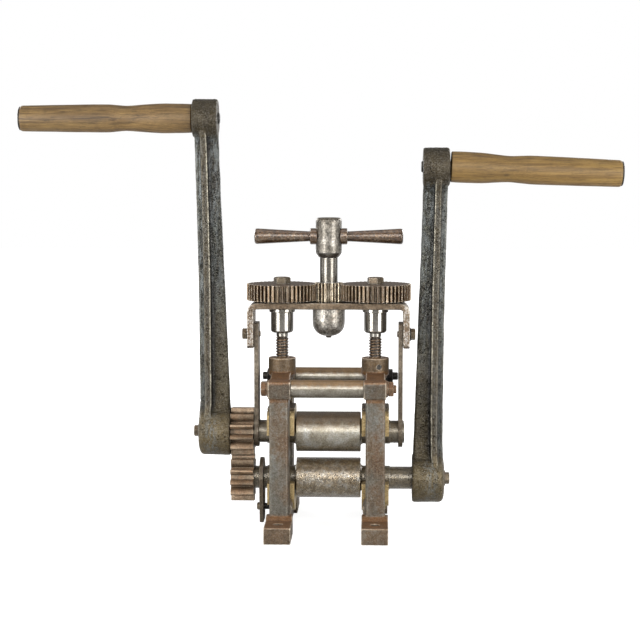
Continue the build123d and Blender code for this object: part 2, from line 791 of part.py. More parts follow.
def keeper_screw():
    body = turned_x(
        [(-89.8, 0), (-89.8, 3.6), (-88.6, 4.75), (keeper_x0, 4.75),
         (keeper_x0, keeper_screw_r), (-62, keeper_screw_r), (-62, 0)],
        0, keeper_screw_z,
    )
    # driver slot
    return body - block(-92, -88.4, -0.7, 0.7, keeper_screw_z - 6, keeper_screw_z + 6)


save("keeper_plate", keeper_plate())
save("keeper_spacer",
     tube_x(3.95, keeper_screw_r, keeper_x1, -post_out, 0, keeper_screw_z))
save("keeper_screw", keeper_screw())
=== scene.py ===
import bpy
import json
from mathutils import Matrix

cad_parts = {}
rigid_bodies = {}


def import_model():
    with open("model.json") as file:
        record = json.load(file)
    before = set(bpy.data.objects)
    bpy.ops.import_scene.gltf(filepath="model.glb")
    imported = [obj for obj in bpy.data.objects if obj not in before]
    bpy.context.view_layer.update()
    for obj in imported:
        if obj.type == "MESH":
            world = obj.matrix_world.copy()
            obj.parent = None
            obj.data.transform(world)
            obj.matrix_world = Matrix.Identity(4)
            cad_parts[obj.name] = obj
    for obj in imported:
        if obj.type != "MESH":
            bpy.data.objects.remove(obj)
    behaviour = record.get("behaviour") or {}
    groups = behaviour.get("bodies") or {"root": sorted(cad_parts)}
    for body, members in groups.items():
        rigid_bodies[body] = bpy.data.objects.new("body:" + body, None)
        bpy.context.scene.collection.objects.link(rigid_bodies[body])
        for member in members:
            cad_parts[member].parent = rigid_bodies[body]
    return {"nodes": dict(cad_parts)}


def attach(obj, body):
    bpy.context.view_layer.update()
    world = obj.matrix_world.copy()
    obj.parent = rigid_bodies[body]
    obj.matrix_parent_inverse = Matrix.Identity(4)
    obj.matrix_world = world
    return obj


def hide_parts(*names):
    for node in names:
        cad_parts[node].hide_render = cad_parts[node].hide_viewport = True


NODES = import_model()["nodes"]

import json
import math

import bpy
import bmesh
import numpy as np
from mathutils import Matrix, Vector, noise

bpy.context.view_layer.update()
COLL = bpy.context.scene.collection
MM = 0.001

# ------------------------------------------------------------------ driving sizes (mm)
LOWER_Z, UPPER_Z = 59.0, 117.0             # roll axes
LEFT_GRIP_Z, RIGHT_GRIP_Z = 504.5, 445.5   # grip ends of the cranks
LEFT_BOSS_X, RIGHT_BOSS_X = -167.0, 148.0  # outer faces of the crank bosses
SPIGOT_R, JOURNAL_R, PIN_R = 11, 14, 7.0
MODULE = 1.75                              # tooth module of the pinion and screw gears
SCREW_GEAR_TEETH, PINION_TEETH = 48, 18
SCREW_GEAR_R = MODULE * SCREW_GEAR_TEETH / 2
PINION_R = MODULE * PINION_TEETH / 2
SCREW_X = SCREW_GEAR_R + PINION_R
SCREW_GEAR_Z = (281.5, 301.5)
THREAD_TOP_Z = 235.9
TIE_Y, TIE_Z = 61.0, 178.8
EAR_Z = 239.0                              # bolts through the ears of the bridge
TEE_BAR_Z = 360.0
SIDES = ((-1, "left"), (1, "right"))


# ------------------------------------------------------------------ node graphs
FALLING = (1.0, 0.0)


class Graph:
    """Builds the node tree of a material or a world."""

    def __init__(self, owner):
        owner.use_nodes = True
        self.tree = owner.node_tree
        self.tree.nodes.clear()

    def put(self, socket, value):
        """Links a socket or sets its value; a colour of three numbers gets its alpha."""
        if isinstance(value, bpy.types.NodeSocket):
            self.tree.links.new(value, socket)
            return
        if socket.type == "RGBA" and len(value) == 3:
            value = (*value, 1.0)
        socket.default_value = value

    def node(self, kind, inputs=None, **settings):
        node = self.tree.nodes.new("ShaderNode" + kind)
        for key, value in settings.items():
            setattr(node, key, value)
        for key, value in (inputs or {}).items():
            self.put(node.inputs[key], value)
        return node

    def math(self, operation, *values, clamp=False):
        inputs = dict(enumerate(values))
        return self.node("Math", inputs, operation=operation, use_clamp=clamp).outputs[0]

    def add(self, a, b):
        return self.math("ADD", a, b)

    def sub(self, a, b):
        return self.math("SUBTRACT", a, b)

    def mul(self, a, b):
        return self.math("MULTIPLY", a, b)

    def weigh(self, a, share_a, b, share_b):
        return self.add(self.mul(a, share_a), self.mul(b, share_b))

    def ramp(self, value, stops):
        """stops are (position, grey or colour)."""
        node = self.node("ValToRGB", {0: value})
        elements = node.color_ramp.elements
        while len(elements) < len(stops):
            elements.new(0.5)
        for element, (position, tone) in zip(elements, stops):
            element.position = position
            element.color = (*(tone if isinstance(tone, tuple) else (tone,) * 3), 1)
        return node.outputs[0]

    def step(self, value, span, ends=(0.0, 1.0)):
        """Goes from one end tone to the other as the value crosses the span."""
        return self.ramp(value, list(zip(span, ends)))

    def geometry(self, output):
        return self.node("NewGeometry").outputs[output]


class Surface(Graph):
    """A material on one Principled shader, with its textures in object space."""

    def __init__(self, name):
        self.material = bpy.data.materials.new(name)
        super().__init__(self.material)
        self.shader = self.node("BsdfPrincipled")
        self.node("OutputMaterial", {0: self.shader.outputs[0]})
        self.object_space = self.node("TexCoord").outputs["Object"]

    def coords(self, scale=(1, 1, 1), offset=(0, 0, 0)):
        inputs = {0: self.object_space, "Scale": scale, "Location": offset}
        return self.node("Mapping", inputs).outputs[0]

    def noise(self, vec, scale, detail, rough, distort=0.0):
        inputs = {"Vector": vec, "Scale": scale, "Detail": detail, "Roughness": rough,
                  "Distortion": distort}
        return self.node("TexNoise", inputs).outputs[0]

    def blotch(self, vec, scale, detail, rough, span, ends=(0.0, 1.0)):
        return self.step(self.noise(vec, scale, detail, rough), span, ends)

    def mix(self, factor, a, b, mode="MIX"):
        inputs = {0: factor, 6: a, 7: b}
        return self.node("Mix", inputs, data_type="RGBA", blend_type=mode).outputs[2]

    def shade(self, colour, tone):
        return self.mix(1.0, colour, tone, "MULTIPLY")

    def two_tone(self, vec, colour, dark, scale, detail, rough, span, light=1.0):
        """The colour in blotches between dark and light times its strength."""
        mask = self.blotch(vec, scale, detail, rough, span)
        return self.mix(mask, scaled(colour, dark), scaled(colour, light))

    def edge(self, radius_mm, gain):
        """Rises to 1 on sharp edges, 0 on flat faces."""
        bevel = self.node("Bevel", {0: radius_mm * MM}, samples=4)
        normals = {0: bevel.outputs[0], 1: self.geometry("Normal")}
        dot = self.node("VectorMath", normals, operation="DOT_PRODUCT").outputs["Value"]
        return self.math("MULTIPLY", self.sub(1.0, dot), gain * 3, clamp=True)

    def open_air(self, distance_mm):
        """Ambient occlusion: 0 deep in a recess, 1 in the open."""
        inputs = {"Distance": distance_mm * MM}
        return self.node("AmbientOcclusion", inputs, samples=4).outputs["AO"]

    def up(self):
        return self.node("SeparateXYZ", {0: self.geometry("Normal")}).outputs["Z"]

    def mm(self, axis):
        place = self.node("SeparateXYZ", {0: self.object_space}).outputs[axis]
        return self.math("DIVIDE", place, MM)

    def band(self, vec, axis, low, high, soft, fold, ragged):
        """1 between low and high mm on an axis (on both sides of 0 if fold), with borders
        soft mm wide that wander as ragged says."""
        place = self.mm(axis)
        if fold:
            place = self.math("ABSOLUTE", place)
        if ragged:
            wander = self.sub(self.noise(vec, scale=75, detail=5, rough=0.68), 0.5)
            place = self.add(place, self.mul(wander, ragged * 4))
        rise = self.math("DIVIDE", self.sub(place, low), soft, clamp=True)
        fall = self.math("DIVIDE", self.sub(high, place), soft, clamp=True)
        return self.mul(rise, fall)

    def attribute(self, name):
        return self.node("Attribute", attribute_name=name).outputs["Fac"]

    def bump(self, height, strength, distance_mm):
        inputs = {"Strength": strength, "Distance": distance_mm * MM, "Height": height}
        return self.node("Bump", inputs).outputs[0]

    def finish(self, colour, rough, metallic, normal, spec):
        values = {"Base Color": colour, "Roughness": rough, "Metallic": metallic,
                  "Normal": normal, "Specular IOR Level": spec}
        for key, value in values.items():
            self.put(self.shader.inputs[key], value)
        return self.material


def scaled(colour, factor):
    return tuple(min(1.0, c * factor) for c in colour)


def linear(colour):
    """A 0-255 sRGB colour as linear 0-1 values."""
    def channel(c):
        c /= 255.0
        return c / 12.92 if c <= 0.04045 else ((c + 0.055) / 1.055) ** 2.4
    return tuple(channel(c) for c in colour)


# ------------------------------------------------------------------ worn metal
def painted_arm(g, v, base, ao_mm, seed):
    """Tan grime with painted shade in its recesses, grime with painted shade beside the rib, and
    bare scrapes, placed by the crank's point attributes.
    """
    grain = g.weigh(g.noise(v, scale=70, detail=4, rough=0.6), 0.5,
                    g.noise(v, scale=420, detail=4, rough=0.75), 0.5)
    tan = g.ramp(grain, [(0.38, (0.036, 0.025, 0.009)), (0.5, (0.064, 0.046, 0.019)),
                         (0.62, (0.102, 0.077, 0.038))])
    # Painted shade in recesses on the tan grime
    tan = g.shade(tan, g.step(g.open_air(ao_mm), (0.0, 0.8), ends=(0.15, 1.0)))
    base = g.mix(g.mul(g.attribute("tan"), 0.9), base, tan)
    # Grime and painted shade, stored in a point attribute
    base = g.shade(base, g.step(g.attribute("dirt_and_shade"), (0.0, 0.9), ends=(1.0, 0.2)))
    streaks = g.blotch(g.coords((1, 1, 0.16), (seed * 3, seed, 0)),
                       scale=300, detail=5, rough=0.72, span=(0.47, 0.55))
    scrape = g.mul(g.mul(g.attribute("scrape"), streaks), 0.85)
    return g.mix(scrape, base, (0.098, 0.108, 0.108))


def greasy_shaded_thread(g, v, base, under, thread):
    """The thread's grease colour below its top, with painted shade darkening it towards the
    root.
    """
    grease = g.two_tone(v, linear(thread["colour"]), dark=0.5, scale=260, detail=5, rough=0.7,
                        span=(0.35, 0.65))
    base = g.mix(g.mul(under, 0.9), base, grease)
    across = g.sub(g.math("ABSOLUTE", g.mm("X")), thread["axis_x"])
    along = g.mm("Y")
    radius = g.math("SQRT", g.add(g.mul(across, across), g.mul(along, along)))
    depth = thread["crest"] - thread["root"]
    crest = g.math("DIVIDE", g.sub(radius, thread["root"]), depth, clamp=True)
    crest = g.math("MAXIMUM", crest, g.sub(1.0, under))
    # Painted shade in the thread's grooves, deepest at the root
    return g.shade(base, g.step(crest, (0.15, 0.85), ends=(0.22, 0.72)))


def metal_height(g, v, fine, wavy, pits, turned):
    height = g.weigh(g.noise(v, scale=fine, detail=6, rough=0.62), 0.6,
                     g.noise(v, scale=fine * 0.22, detail=4, rough=0.6), wavy)
    cells = g.node("TexVoronoi", {"Vector": v, "Scale": fine * 0.55}).outputs[0]
    pit = g.step(cells, (0.05, 0.32))
    unpitted = g.blotch(v, scale=fine * 0.09, detail=3, rough=0.6, span=(0.46, 0.62),
                        ends=FALLING)
    height = g.add(height, g.mul(g.math("MAXIMUM", pit, unpitted), pits))
    if turned:
        marks = g.noise(g.coords(turned), scale=1.0, detail=3, rough=0.7)
        height = g.add(height, g.mul(marks, 0.55))
    return height


def worn_metal(name, *, tones, rust, rust_amount, edge, edge_gain, metallic, rough, mottle,
               fine, bump, pits, seed, gain=1.0, grime=0.75, ao_mm=6, top=0.5, top_colour=None,
               speck=0.25, edge_mm=0.9, rust_scale=38, turned=None, thread=None, zones=(),
               patch=None, salt=0.0, salt_scale=620, salt_band=None, spec=0.5, tall=None,
               bump_mm=0.35, dull=0.75, wavy=0.5, coat=0.0, coat_rough=0.2, curve=0.0,
               painted=False):
    """Old steel or iron. Colours are 0-255 sRGB.

    tones: dark, mid and light of the mottled ground     mottle, fine: texture scales
    rust, top: brown tarnish in patches, and on faces that look up a brown that is partly
    tarnish, partly painted top light
    edge, curve: bright worn edges, partly painted highlights, and the mesh's own curvature,
    which paints shade into creases and highlights onto ridges
    grime, ao_mm: darkness and reach of painted shade, with some grime, in recesses  gain:
    overall tint
    pits, wavy, turned: relief of pits, of broad waves, and scale of lathe marks
    salt: bright specks on pit rims, partly painted glints        dull: how far rust takes the shine
    zones: (band, colour, strength), a band being
           (axis, low mm, high mm, soft mm, fold, ragged) as in Surface.band
    """
    g = Surface(name)
    v = g.coords(offset=(seed, seed * 1.7, -seed))
    stretched = g.coords(tall, (seed, -seed, seed)) if tall else v
    rust = linear(rust)

    mottling = g.weigh(
        g.noise(stretched, scale=mottle, detail=6, rough=0.6, distort=0.4), 0.6,
        g.noise(v, scale=mottle * 7, detail=5, rough=0.65), 0.4)
    base = g.ramp(mottling, list(zip((0.36, 0.5, 0.64), map(linear, tones))))

    patches = g.weigh(
        g.noise(stretched, scale=rust_scale, detail=7, rough=0.68, distort=0.8), 0.72,
        g.noise(v, scale=rust_scale * 9, detail=4, rough=0.7), 0.28)
    rust_and_top_light = g.step(patches, (0.60 - 0.3 * rust_amount, 0.78 - 0.3 * rust_amount))
    breakup = g.sub(g.noise(v, scale=210, detail=5, rough=0.7), 0.5)
    # Faces that look up take a brown tone, partly tarnish and partly painted top light
    upward = g.step(g.add(g.up(), g.mul(breakup, 0.9)), (0.18, 0.62))
    rust_and_top_light = g.math("MAXIMUM", rust_and_top_light, g.mul(upward, top))
    rust_tone = g.two_tone(v, rust, dark=0.66, scale=130, detail=4, rough=0.6,
                           span=(0.35, 0.65))
    base = g.mix(g.mul(rust_and_top_light, 0.85), base, rust_tone)

    for band, colour, strength in zones:
        mask = g.mul(g.band(v, *band), strength)
        tone = g.two_tone(v, linear(colour), dark=0.62, light=1.18, scale=95, detail=6,
                          rough=0.66, span=(0.36, 0.64))
        base = g.mix(mask, base, tone)
    # A brighter brown on faces that look up: partly tarnish, partly painted top light
    if top_colour:
        tone = g.two_tone(v, linear(top_colour), dark=0.6, scale=120, detail=5, rough=0.65,
                          span=(0.36, 0.62))
        base = g.mix(g.mul(upward, top * 0.9), base, tone)
    if patch:
        mask = g.blotch(g.coords((1, 1, 0.55), (seed * 2, 0, seed)), scale=patch["scale"],
                        detail=4, rough=0.55, span=patch["span"])
        mask = g.mul(mask, g.band(v, *patch["band"]))
        tone = g.two_tone(v, linear(patch["colour"]), dark=0.7, scale=240, detail=5,
                          rough=0.7, span=(0.38, 0.62))
        base = g.mix(g.mul(mask, patch["strength"]), base, tone)
    if thread:
        under = g.math("LESS_THAN", g.mm("Z"), thread["top"])
        base = greasy_shaded_thread(g, v, base, under, thread)

    base = g.shade(base, g.blotch(v, scale=fine * 0.6, detail=3, rough=0.75,
                                  span=(0.40, 0.60), ends=(1.0 - speck, 1.0 + speck)))
    tint = gain if isinstance(gain, tuple) else (gain,) * 3
    # Painted shade in recesses from ambient occlusion, with some grime, times the overall tint
    recess = g.step(g.open_air(ao_mm), (0.0, 0.8), ends=(scaled(tint, 1 - grime), tint))
    if curve:
        # Painted shade in concave creases, found from the mesh's curvature
        pointiness = g.geometry("Pointiness")
        crease = g.step(pointiness, (0.42, 0.485), ends=(1.0 - 0.75 * curve, 1.0))
        recess = g.shade(recess, crease)
    base = g.shade(base, recess)
    if painted:
        base = painted_arm(g, v, base, ao_mm, seed)
    # Bright specks on pit rims, partly painted glints
    if salt:
        mask = g.mul(g.blotch(v, scale=salt_scale, detail=3, rough=0.7, span=(0.50, 0.57)),
                     salt)
        if salt_band:
            mask = g.mul(mask, g.band(v, *salt_band))
        base = g.mix(mask, base, (0.38, 0.355, 0.325))

    # Bright worn edges, partly painted highlights
    worn = g.edge(edge_mm, edge_gain)
    if curve:
        # Painted highlight on convex ridges, together with worn edges
        ridge = g.step(pointiness, (0.515, 0.565))
        worn = g.math("MAXIMUM", worn, g.mul(ridge, curve))
    if painted:
        # On a crank the point attribute adds worn edges and a painted highlight on the rib's
        # inner corner
        worn = g.math("MAXIMUM", g.mul(worn, 0.6), g.attribute("wear_and_highlight"))
    uneven = g.blotch(v, scale=160, detail=5, rough=0.7, span=(0.36, 0.58), ends=(0.1, 1.0))
    worn = g.math("MULTIPLY", worn, uneven, clamp=True)
    base = g.mix(worn, base, scaled(linear(edge), 0.75))

    shine = g.blotch(v, scale=mottle * 3.1, detail=5, rough=0.6, span=(0.3, 0.7), ends=rough)
    shine = g.mix(g.mul(rust_and_top_light, dull), shine, (0.62,) * 3)
    if thread:
        shine = g.mix(g.mul(under, 0.8), shine, (0.5,) * 3)
    metal = g.sub(metallic, g.mul(rust_and_top_light, 0.4 * metallic))
    normal = g.bump(metal_height(g, v, fine, wavy, pits, turned), bump, bump_mm)
    if coat:
        layer = {"Coat Weight": coat, "Coat Roughness": coat_rough, "Coat Normal": normal}
        for key, value in layer.items():
            g.put(g.shader.inputs[key], value)
    return g.finish(base, shine, metal, normal, spec)


# Scales of lathe marks, fine along the axis of turning
TURNED_X = (700, 5, 5)
TURNED_Z = (6, 6, 900)

frame_iron = worn_metal(
    "frame_iron", tones=((84, 68, 50), (118, 102, 84), (140, 146, 146)), rust=(118, 88, 60),
    rust_amount=0.36, edge=(226, 212, 190), edge_gain=0.8, metallic=0.5, rough=(0.4, 0.58),
    mottle=30, fine=700, bump=0.8, pits=0.8, grime=0.92, ao_mm=10, seed=0.3, top=0.8,
    gain=(0.43, 0.40, 0.36), curve=0.8, spec=0.3, top_colour=(156, 112, 70),
    tall=(1, 1, 0.6), edge_mm=1.5, speck=0.16, salt=0.08,
    zones=((("Z", 191, 260, 6.0, False, 2.0), (112, 92, 66), 0.6),
           (("Z", 185.5, 195, 2.0, False, 1.2), (150, 102, 54), 0.85),
           (("Z", 168, 185.5, 1.5, False, 1.0), (84, 77, 66), 0.65),
           (("Z", 162.5, 168.5, 1.2, False, 0.8), (132, 94, 56), 0.6),
           (("Z", -5, 22, 1.0, False, 1.0), (128, 112, 90), 0.25),
           (("Y", 0, 57, 3.0, True, 1.0), (112, 92, 62), 0.5)),
    patch=dict(colour=(116, 121, 118), scale=22, span=(0.47, 0.58), strength=0.7,
               band=("Z", 24, 164, 4.0, False, 1.0)))
crank_iron = worn_metal(
    "crank_iron", tones=((46, 46, 38), (92, 92, 82), (144, 148, 142)), rust=(104, 84, 58),
    rust_amount=0.3, edge=(204, 196, 176), edge_gain=0.35, metallic=0.5, rough=(0.32, 0.54),
    mottle=30, fine=520, bump=1.6, pits=1.3, grime=0.95, ao_mm=10, seed=1.1, top=0.4,
    speck=0.85, gain=(0.13, 0.127, 0.108), spec=0.3, curve=0.35, tall=(1, 1, 0.35),
    bump_mm=0.85, salt=0.1, edge_mm=1.3, painted=True)
ROLL_ENDS = ((("X", 41, 200, 1.0, True, 0.0), (94, 84, 66), 0.8),)
roll_steel = worn_metal(
    "roll_steel", tones=((118, 108, 88), (144, 138, 124), (168, 166, 158)),
    rust=(98, 76, 50), rust_amount=0.08, edge=(215, 210, 200), edge_gain=0.7, metallic=0.9,
    rough=(0.26, 0.36), mottle=60, fine=1100, bump=0.8, pits=0.6, grime=0.6, ao_mm=5,
    seed=2.2, wavy=0.12, turned=TURNED_X, top=1.0, speck=0.2, dull=0.5, zones=ROLL_ENDS,
    coat=0.7)
pitted_roll_steel = worn_metal(
    "roll_steel_pitted", tones=((104, 88, 64), (124, 112, 92), (154, 151, 144)),
    rust=(98, 78, 50), rust_amount=0.14, edge=(215, 210, 200), edge_gain=0.6, metallic=0.7,
    rough=(0.17, 0.27), mottle=120, fine=560, bump=1.4, pits=1.6, grime=0.6, ao_mm=5,
    seed=3.9, wavy=0.0, turned=TURNED_X, top=0.7, speck=0.34, dull=0.5, zones=ROLL_ENDS,
    coat=1.0, coat_rough=0.12, bump_mm=0.42)
shaft_steel = worn_metal(
    "bright_steel_turned", tones=((82, 77, 69), (98, 94, 87), (116, 113, 107)),
    rust=(90, 76, 58), rust_amount=0.16, edge=(225, 222, 214), edge_gain=0.6, metallic=0.86,
    rough=(0.2, 0.28), mottle=70, fine=1500, bump=0.2, pits=0.7, grime=0.55, ao_mm=4,
    seed=5.0, wavy=0.04, turned=TURNED_Z, top=0.45, speck=0.18, bump_mm=0.12, coat=0.2,
    coat_rough=0.12)
hub_steel = worn_metal(
    "bright_steel_pitted", tones=((66, 62, 54), (94, 89, 81), (126, 122, 115)),
    rust=(92, 78, 60), rust_amount=0.2, edge=(225, 222, 214), edge_gain=0.4, metallic=0.8,
    rough=(0.3, 0.42), mottle=70, fine=620, bump=0.8, pits=1.1, grime=0.6, ao_mm=4,
    seed=5.6, wavy=0.06, turned=TURNED_Z, top=0.45, speck=0.45, bump_mm=0.22, coat=0.15)
cup_steel = worn_metal(
    "bright_steel_cup", tones=((88, 82, 74), (118, 113, 105), (154, 151, 145)),
    rust=(112, 92, 70), rust_amount=0.2, edge=(225, 222, 214), edge_gain=0.5, metallic=0.85,
    rough=(0.26, 0.38), mottle=70, fine=560, bump=0.9, pits=1.3, grime=0.6, ao_mm=4,
    seed=5.8, wavy=0.0, turned=TURNED_Z, top=0.3, speck=0.5, bump_mm=0.25, coat=0.2,
    coat_rough=0.15)
bar_steel = worn_metal(
    "bright_steel_bar", tones=((104, 96, 82), (130, 124, 112), (154, 150, 141)),
    rust=(120, 88, 48), rust_amount=0.08, edge=(215, 210, 200), edge_gain=0.6, metallic=1.0,
    rough=(0.3, 0.4), mottle=60, fine=1300, bump=0.2, pits=0.5, ao_mm=5, seed=6.0,
    wavy=0.05, coat=0.4, turned=(800, 6, 6), top=1.0, speck=0.12, rust_scale=60, bump_mm=0.2)
# Gear teeth: near-black painted shade in the gaps (grime) and painted highlights on the tooth
# edges (edge_gain)
gear_steel = worn_metal(
    "gear_steel", tones=((76, 62, 46), (118, 102, 82), (150, 137, 118)), rust=(104, 78, 54),
    rust_amount=0.3, edge=(246, 236, 218), edge_gain=2.0, metallic=0.85, rough=(0.26, 0.44),
    mottle=70, fine=900, bump=0.35, pits=0.4, grime=0.99, ao_mm=5.5, seed=7.0, edge_mm=0.6,
    top=0.75, gain=(0.51, 0.445, 0.375))
tee_bar_steel = worn_metal(
    "tee_bar_steel", tones=((46, 33, 22), (76, 58, 40), (116, 105, 90)), rust=(84, 58, 36),
    rust_amount=0.22, edge=(214, 204, 188), edge_gain=0.7, metallic=0.75, rough=(0.26, 0.4),
    mottle=60, fine=420, bump=0.9, pits=1.5, ao_mm=4, seed=7.7, top=0.6, wavy=0.0, coat=0.8,
    coat_rough=0.08, bump_mm=0.34, speck=0.45)
pinion_steel = worn_metal(
    "pinion_steel", tones=((84, 72, 56), (128, 116, 98), (166, 156, 140)),
    rust=(104, 82, 58), rust_amount=0.2, edge=(244, 238, 224), edge_gain=1.6, metallic=0.9,
    rough=(0.22, 0.36), mottle=70, fine=900, bump=0.3, pits=0.4, grime=0.97, ao_mm=2.6,
    seed=7.3, edge_mm=0.6, top=0.6, gain=0.95)
roll_gear_steel = worn_metal(
    "roll_gear_steel", tones=((92, 80, 66), (130, 112, 92), (156, 138, 116)),
    rust=(146, 104, 66), rust_amount=0.34, edge=(222, 206, 180), edge_gain=1.2, metallic=0.7,
    rough=(0.32, 0.5), mottle=50, fine=900, bump=0.5, pits=0.45, grime=0.99, ao_mm=8,
    seed=8.0, top=0.4, gain=0.9)
plate_steel = worn_metal(
    "plate_steel", tones=((104, 90, 72), (134, 119, 100), (162, 150, 132)),
    rust=(112, 88, 60), rust_amount=0.26, edge=(222, 214, 198), edge_gain=0.9, metallic=0.7,
    rough=(0.34, 0.54), mottle=55, fine=480, bump=0.9, pits=1.3, grime=0.65, seed=9.0,
    top=0.6, speck=0.34, gain=(0.425, 0.385, 0.345), salt=0.7, salt_scale=430,
    salt_band=("X", 90.0, 130.0, 3.0, True, 1.0), curve=0.5)
strap_steel = worn_metal(
    "strap_steel", tones=((100, 90, 78), (128, 117, 103), (156, 147, 135)),
    rust=(108, 84, 60), rust_amount=0.26, edge=(216, 208, 194), edge_gain=1.0, metallic=0.6,
    rough=(0.36, 0.56), mottle=70, fine=700, bump=0.6, pits=0.8, grime=0.65, seed=9.7,
    speck=0.28, gain=(0.42, 0.40, 0.36))
fastener_steel = worn_metal(
    "fastener_steel", tones=((90, 80, 66), (120, 107, 88), (150, 138, 118)),
    rust=(122, 90, 60), rust_amount=0.32, edge=(212, 206, 194), edge_gain=1.0, metallic=0.7,
    rough=(0.32, 0.5), mottle=120, fine=1400, bump=0.4, pits=0.4, grime=0.8, ao_mm=3,
    seed=10.0, gain=0.55)
rusted_nut = worn_metal(
    "rusted_nut_steel", tones=((96, 74, 54), (132, 104, 78), (158, 132, 104)),
    rust=(140, 92, 56), rust_amount=0.4, edge=(214, 198, 172), edge_gain=0.9, metallic=0.6,
    rough=(0.34, 0.54), mottle=90, fine=900, bump=0.6, pits=0.7, grime=0.85, ao_mm=4,
    seed=10.6, gain=0.5)
dark_fastener = worn_metal(
    "dark_fastener", tones=((26, 24, 22), (40, 37, 33), (70, 65, 58)), rust=(58, 44, 32),
    rust_amount=0.2, edge=(130, 124, 114), edge_gain=0.7, metallic=0.6, rough=(0.32, 0.5),
    mottle=120, fine=1400, bump=0.4, pits=0.4, grime=0.7, ao_mm=3, seed=11.0, top=0.3,
    gain=0.7)
brass = worn_metal(
    "brass_bearing", tones=((136, 114, 74), (172, 149, 104), (198, 176, 130)),
    rust=(104, 80, 52), rust_amount=0.16, edge=(230, 212, 168), edge_gain=0.7,
    metallic=0.55, rough=(0.36, 0.52), mottle=60, fine=1000, bump=0.3, pits=0.4, seed=12.0,
    top=0.3, gain=0.8)
bronze = worn_metal(
    "bronze_nut", tones=((96, 70, 42), (140, 106, 66), (170, 136, 90)), rust=(90, 60, 34),
    rust_amount=0.25, edge=(200, 168, 116), edge_gain=0.7, metallic=0.85, rough=(0.3, 0.48),
    mottle=80, fine=1000, bump=0.35, pits=0.4, grime=0.7, ao_mm=4, seed=13.0, gain=0.7)
screw_steel = worn_metal(
    "pressure_screw_steel", tones=((118, 112, 101), (144, 140, 132), (164, 161, 155)),
    rust=(112, 90, 64), rust_amount=0.14, edge=(225, 222, 214), edge_gain=0.7, metallic=0.9,
    rough=(0.1, 0.17), mottle=70, fine=900, bump=0.05, pits=0.4, grime=0.85, ao_mm=2.2,
    seed=15.0, turned=TURNED_Z, speck=0.12, bump_mm=0.12, wavy=0.03, coat=0.3,
    coat_rough=0.08, thread=dict(top=THREAD_TOP_Z, colour=(94, 66, 32), axis_x=SCREW_X,
                                 root=6.75, crest=7.95))


# ------------------------------------------------------------------ grip wood
def wood(name, tones, seed, grain=1.0, knot=None):
    """Hardwood with its grain along X: wandering lines, short open pores, hand grime and,
    if asked, a small knot at a place in metres."""
    g = Surface(name)
    dark, mid, light = map(linear, tones)
    v = g.coords(offset=(seed, seed * 0.3, seed * 0.7))

    def streaks(scale, offset, detail, rough, distort=0.0):
        return g.noise(g.coords(scale, offset), 1.0, detail, rough, distort)

    wander = streaks((7, 16, 16), (seed, seed, seed), detail=3, rough=0.5)
    lines = streaks((9, 330, 330), (seed, seed * 0.5, 0), detail=4, rough=0.6, distort=0.7)
    wide = streaks((5, 90, 90), (seed * 2, 0, seed), detail=3, rough=0.55, distort=1.2)
    fibre = streaks((40, 1500, 1500), (seed, 0, 0), detail=4, rough=0.62)
    pore = g.step(streaks((150, 2600, 2600), (0, seed, 0), detail=2, rough=0.5), (0.33, 0.43))
    tone = g.add(g.weigh(lines, 0.42, fibre, 0.26), g.weigh(wide, 0.24, wander, 0.08))
    colour = g.ramp(tone, [(0.38, dark), (0.5, mid), (0.62, light)])

    line = g.step(lines, (0.34, 0.44), FALLING)
    colour = g.mix(g.mul(line, 0.6 * grain), colour, scaled(dark, 0.42))
    dashes = streaks((42, 620, 620), (seed, seed * 4, 0), detail=3, rough=0.7, distort=0.5)
    dash = g.step(dashes, (0.36, 0.46), FALLING)
    colour = g.mix(g.mul(dash, 0.7 * grain), colour, scaled(dark, 0.34))
    flecks = streaks((28, 480, 480), (seed * 5, seed, 3), detail=3, rough=0.6, distort=0.4)
    pale = g.step(flecks, (0.56, 0.68))
    colour = g.mix(g.mul(pale, 0.5 * grain), colour, scaled(light, 1.35))
    colour = g.mix(g.mul(g.sub(1.0, pore), 0.5), colour, scaled(dark, 0.4))
    colour = g.shade(colour, g.blotch(v, scale=14, detail=4, rough=0.55, span=(0.34, 0.68),
                                      ends=(0.82, 1.08)))
    grime = g.blotch(v, scale=70, detail=5, rough=0.7, span=(0.54, 0.74))
    colour = g.mix(g.mul(grime, 0.45), colour, scaled(dark, 0.5))
    if knot:
        x, y, z = knot
        ends = {0: g.coords((0.8, 1, 1.5)), 1: (x * 0.8, y, z * 1.5)}
        away = g.node("VectorMath", ends, operation="DISTANCE").outputs["Value"]
        mask = g.step(away, (0.0016, 0.0042), FALLING)
        colour = g.mix(g.mul(mask, 0.85), colour, scaled(dark, 0.3))
    # Painted shade in recesses, times the wood's tint
    recess = g.step(g.open_air(4), (0.0, 0.8), ends=(0.14, (0.45, 0.405, 0.27)))
    rough = g.blotch(v, scale=90, detail=4, rough=0.6, span=(0.3, 0.7), ends=(0.4, 0.58))
    normal = g.bump(g.weigh(fibre, 0.5, pore, 0.5), strength=0.3, distance_mm=0.3)
    return g.finish(g.shade(colour, recess), rough, metallic=0.0, normal=normal, spec=0.35)


left_wood = wood("grip_wood_left", seed=0.37,
                 tones=((112, 88, 58), (142, 117, 84), (162, 138, 104)))
right_wood = wood("grip_wood_right", seed=1.91, grain=0.62, knot=(0.217, -0.0143, 0.4356),
                  tones=((120, 93, 56), (151, 124, 80), (172, 146, 100)))


# ------------------------------------------------------------------ mesh helpers
def add_object(name, mesh, mat):
    ob = bpy.data.objects.new(name, mesh)
    COLL.objects.link(ob)
    mesh.materials.append(mat)
    return ob


def own(ob, body, slot, *nodes):
    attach(ob, body)
    if nodes:
        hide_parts(*nodes)


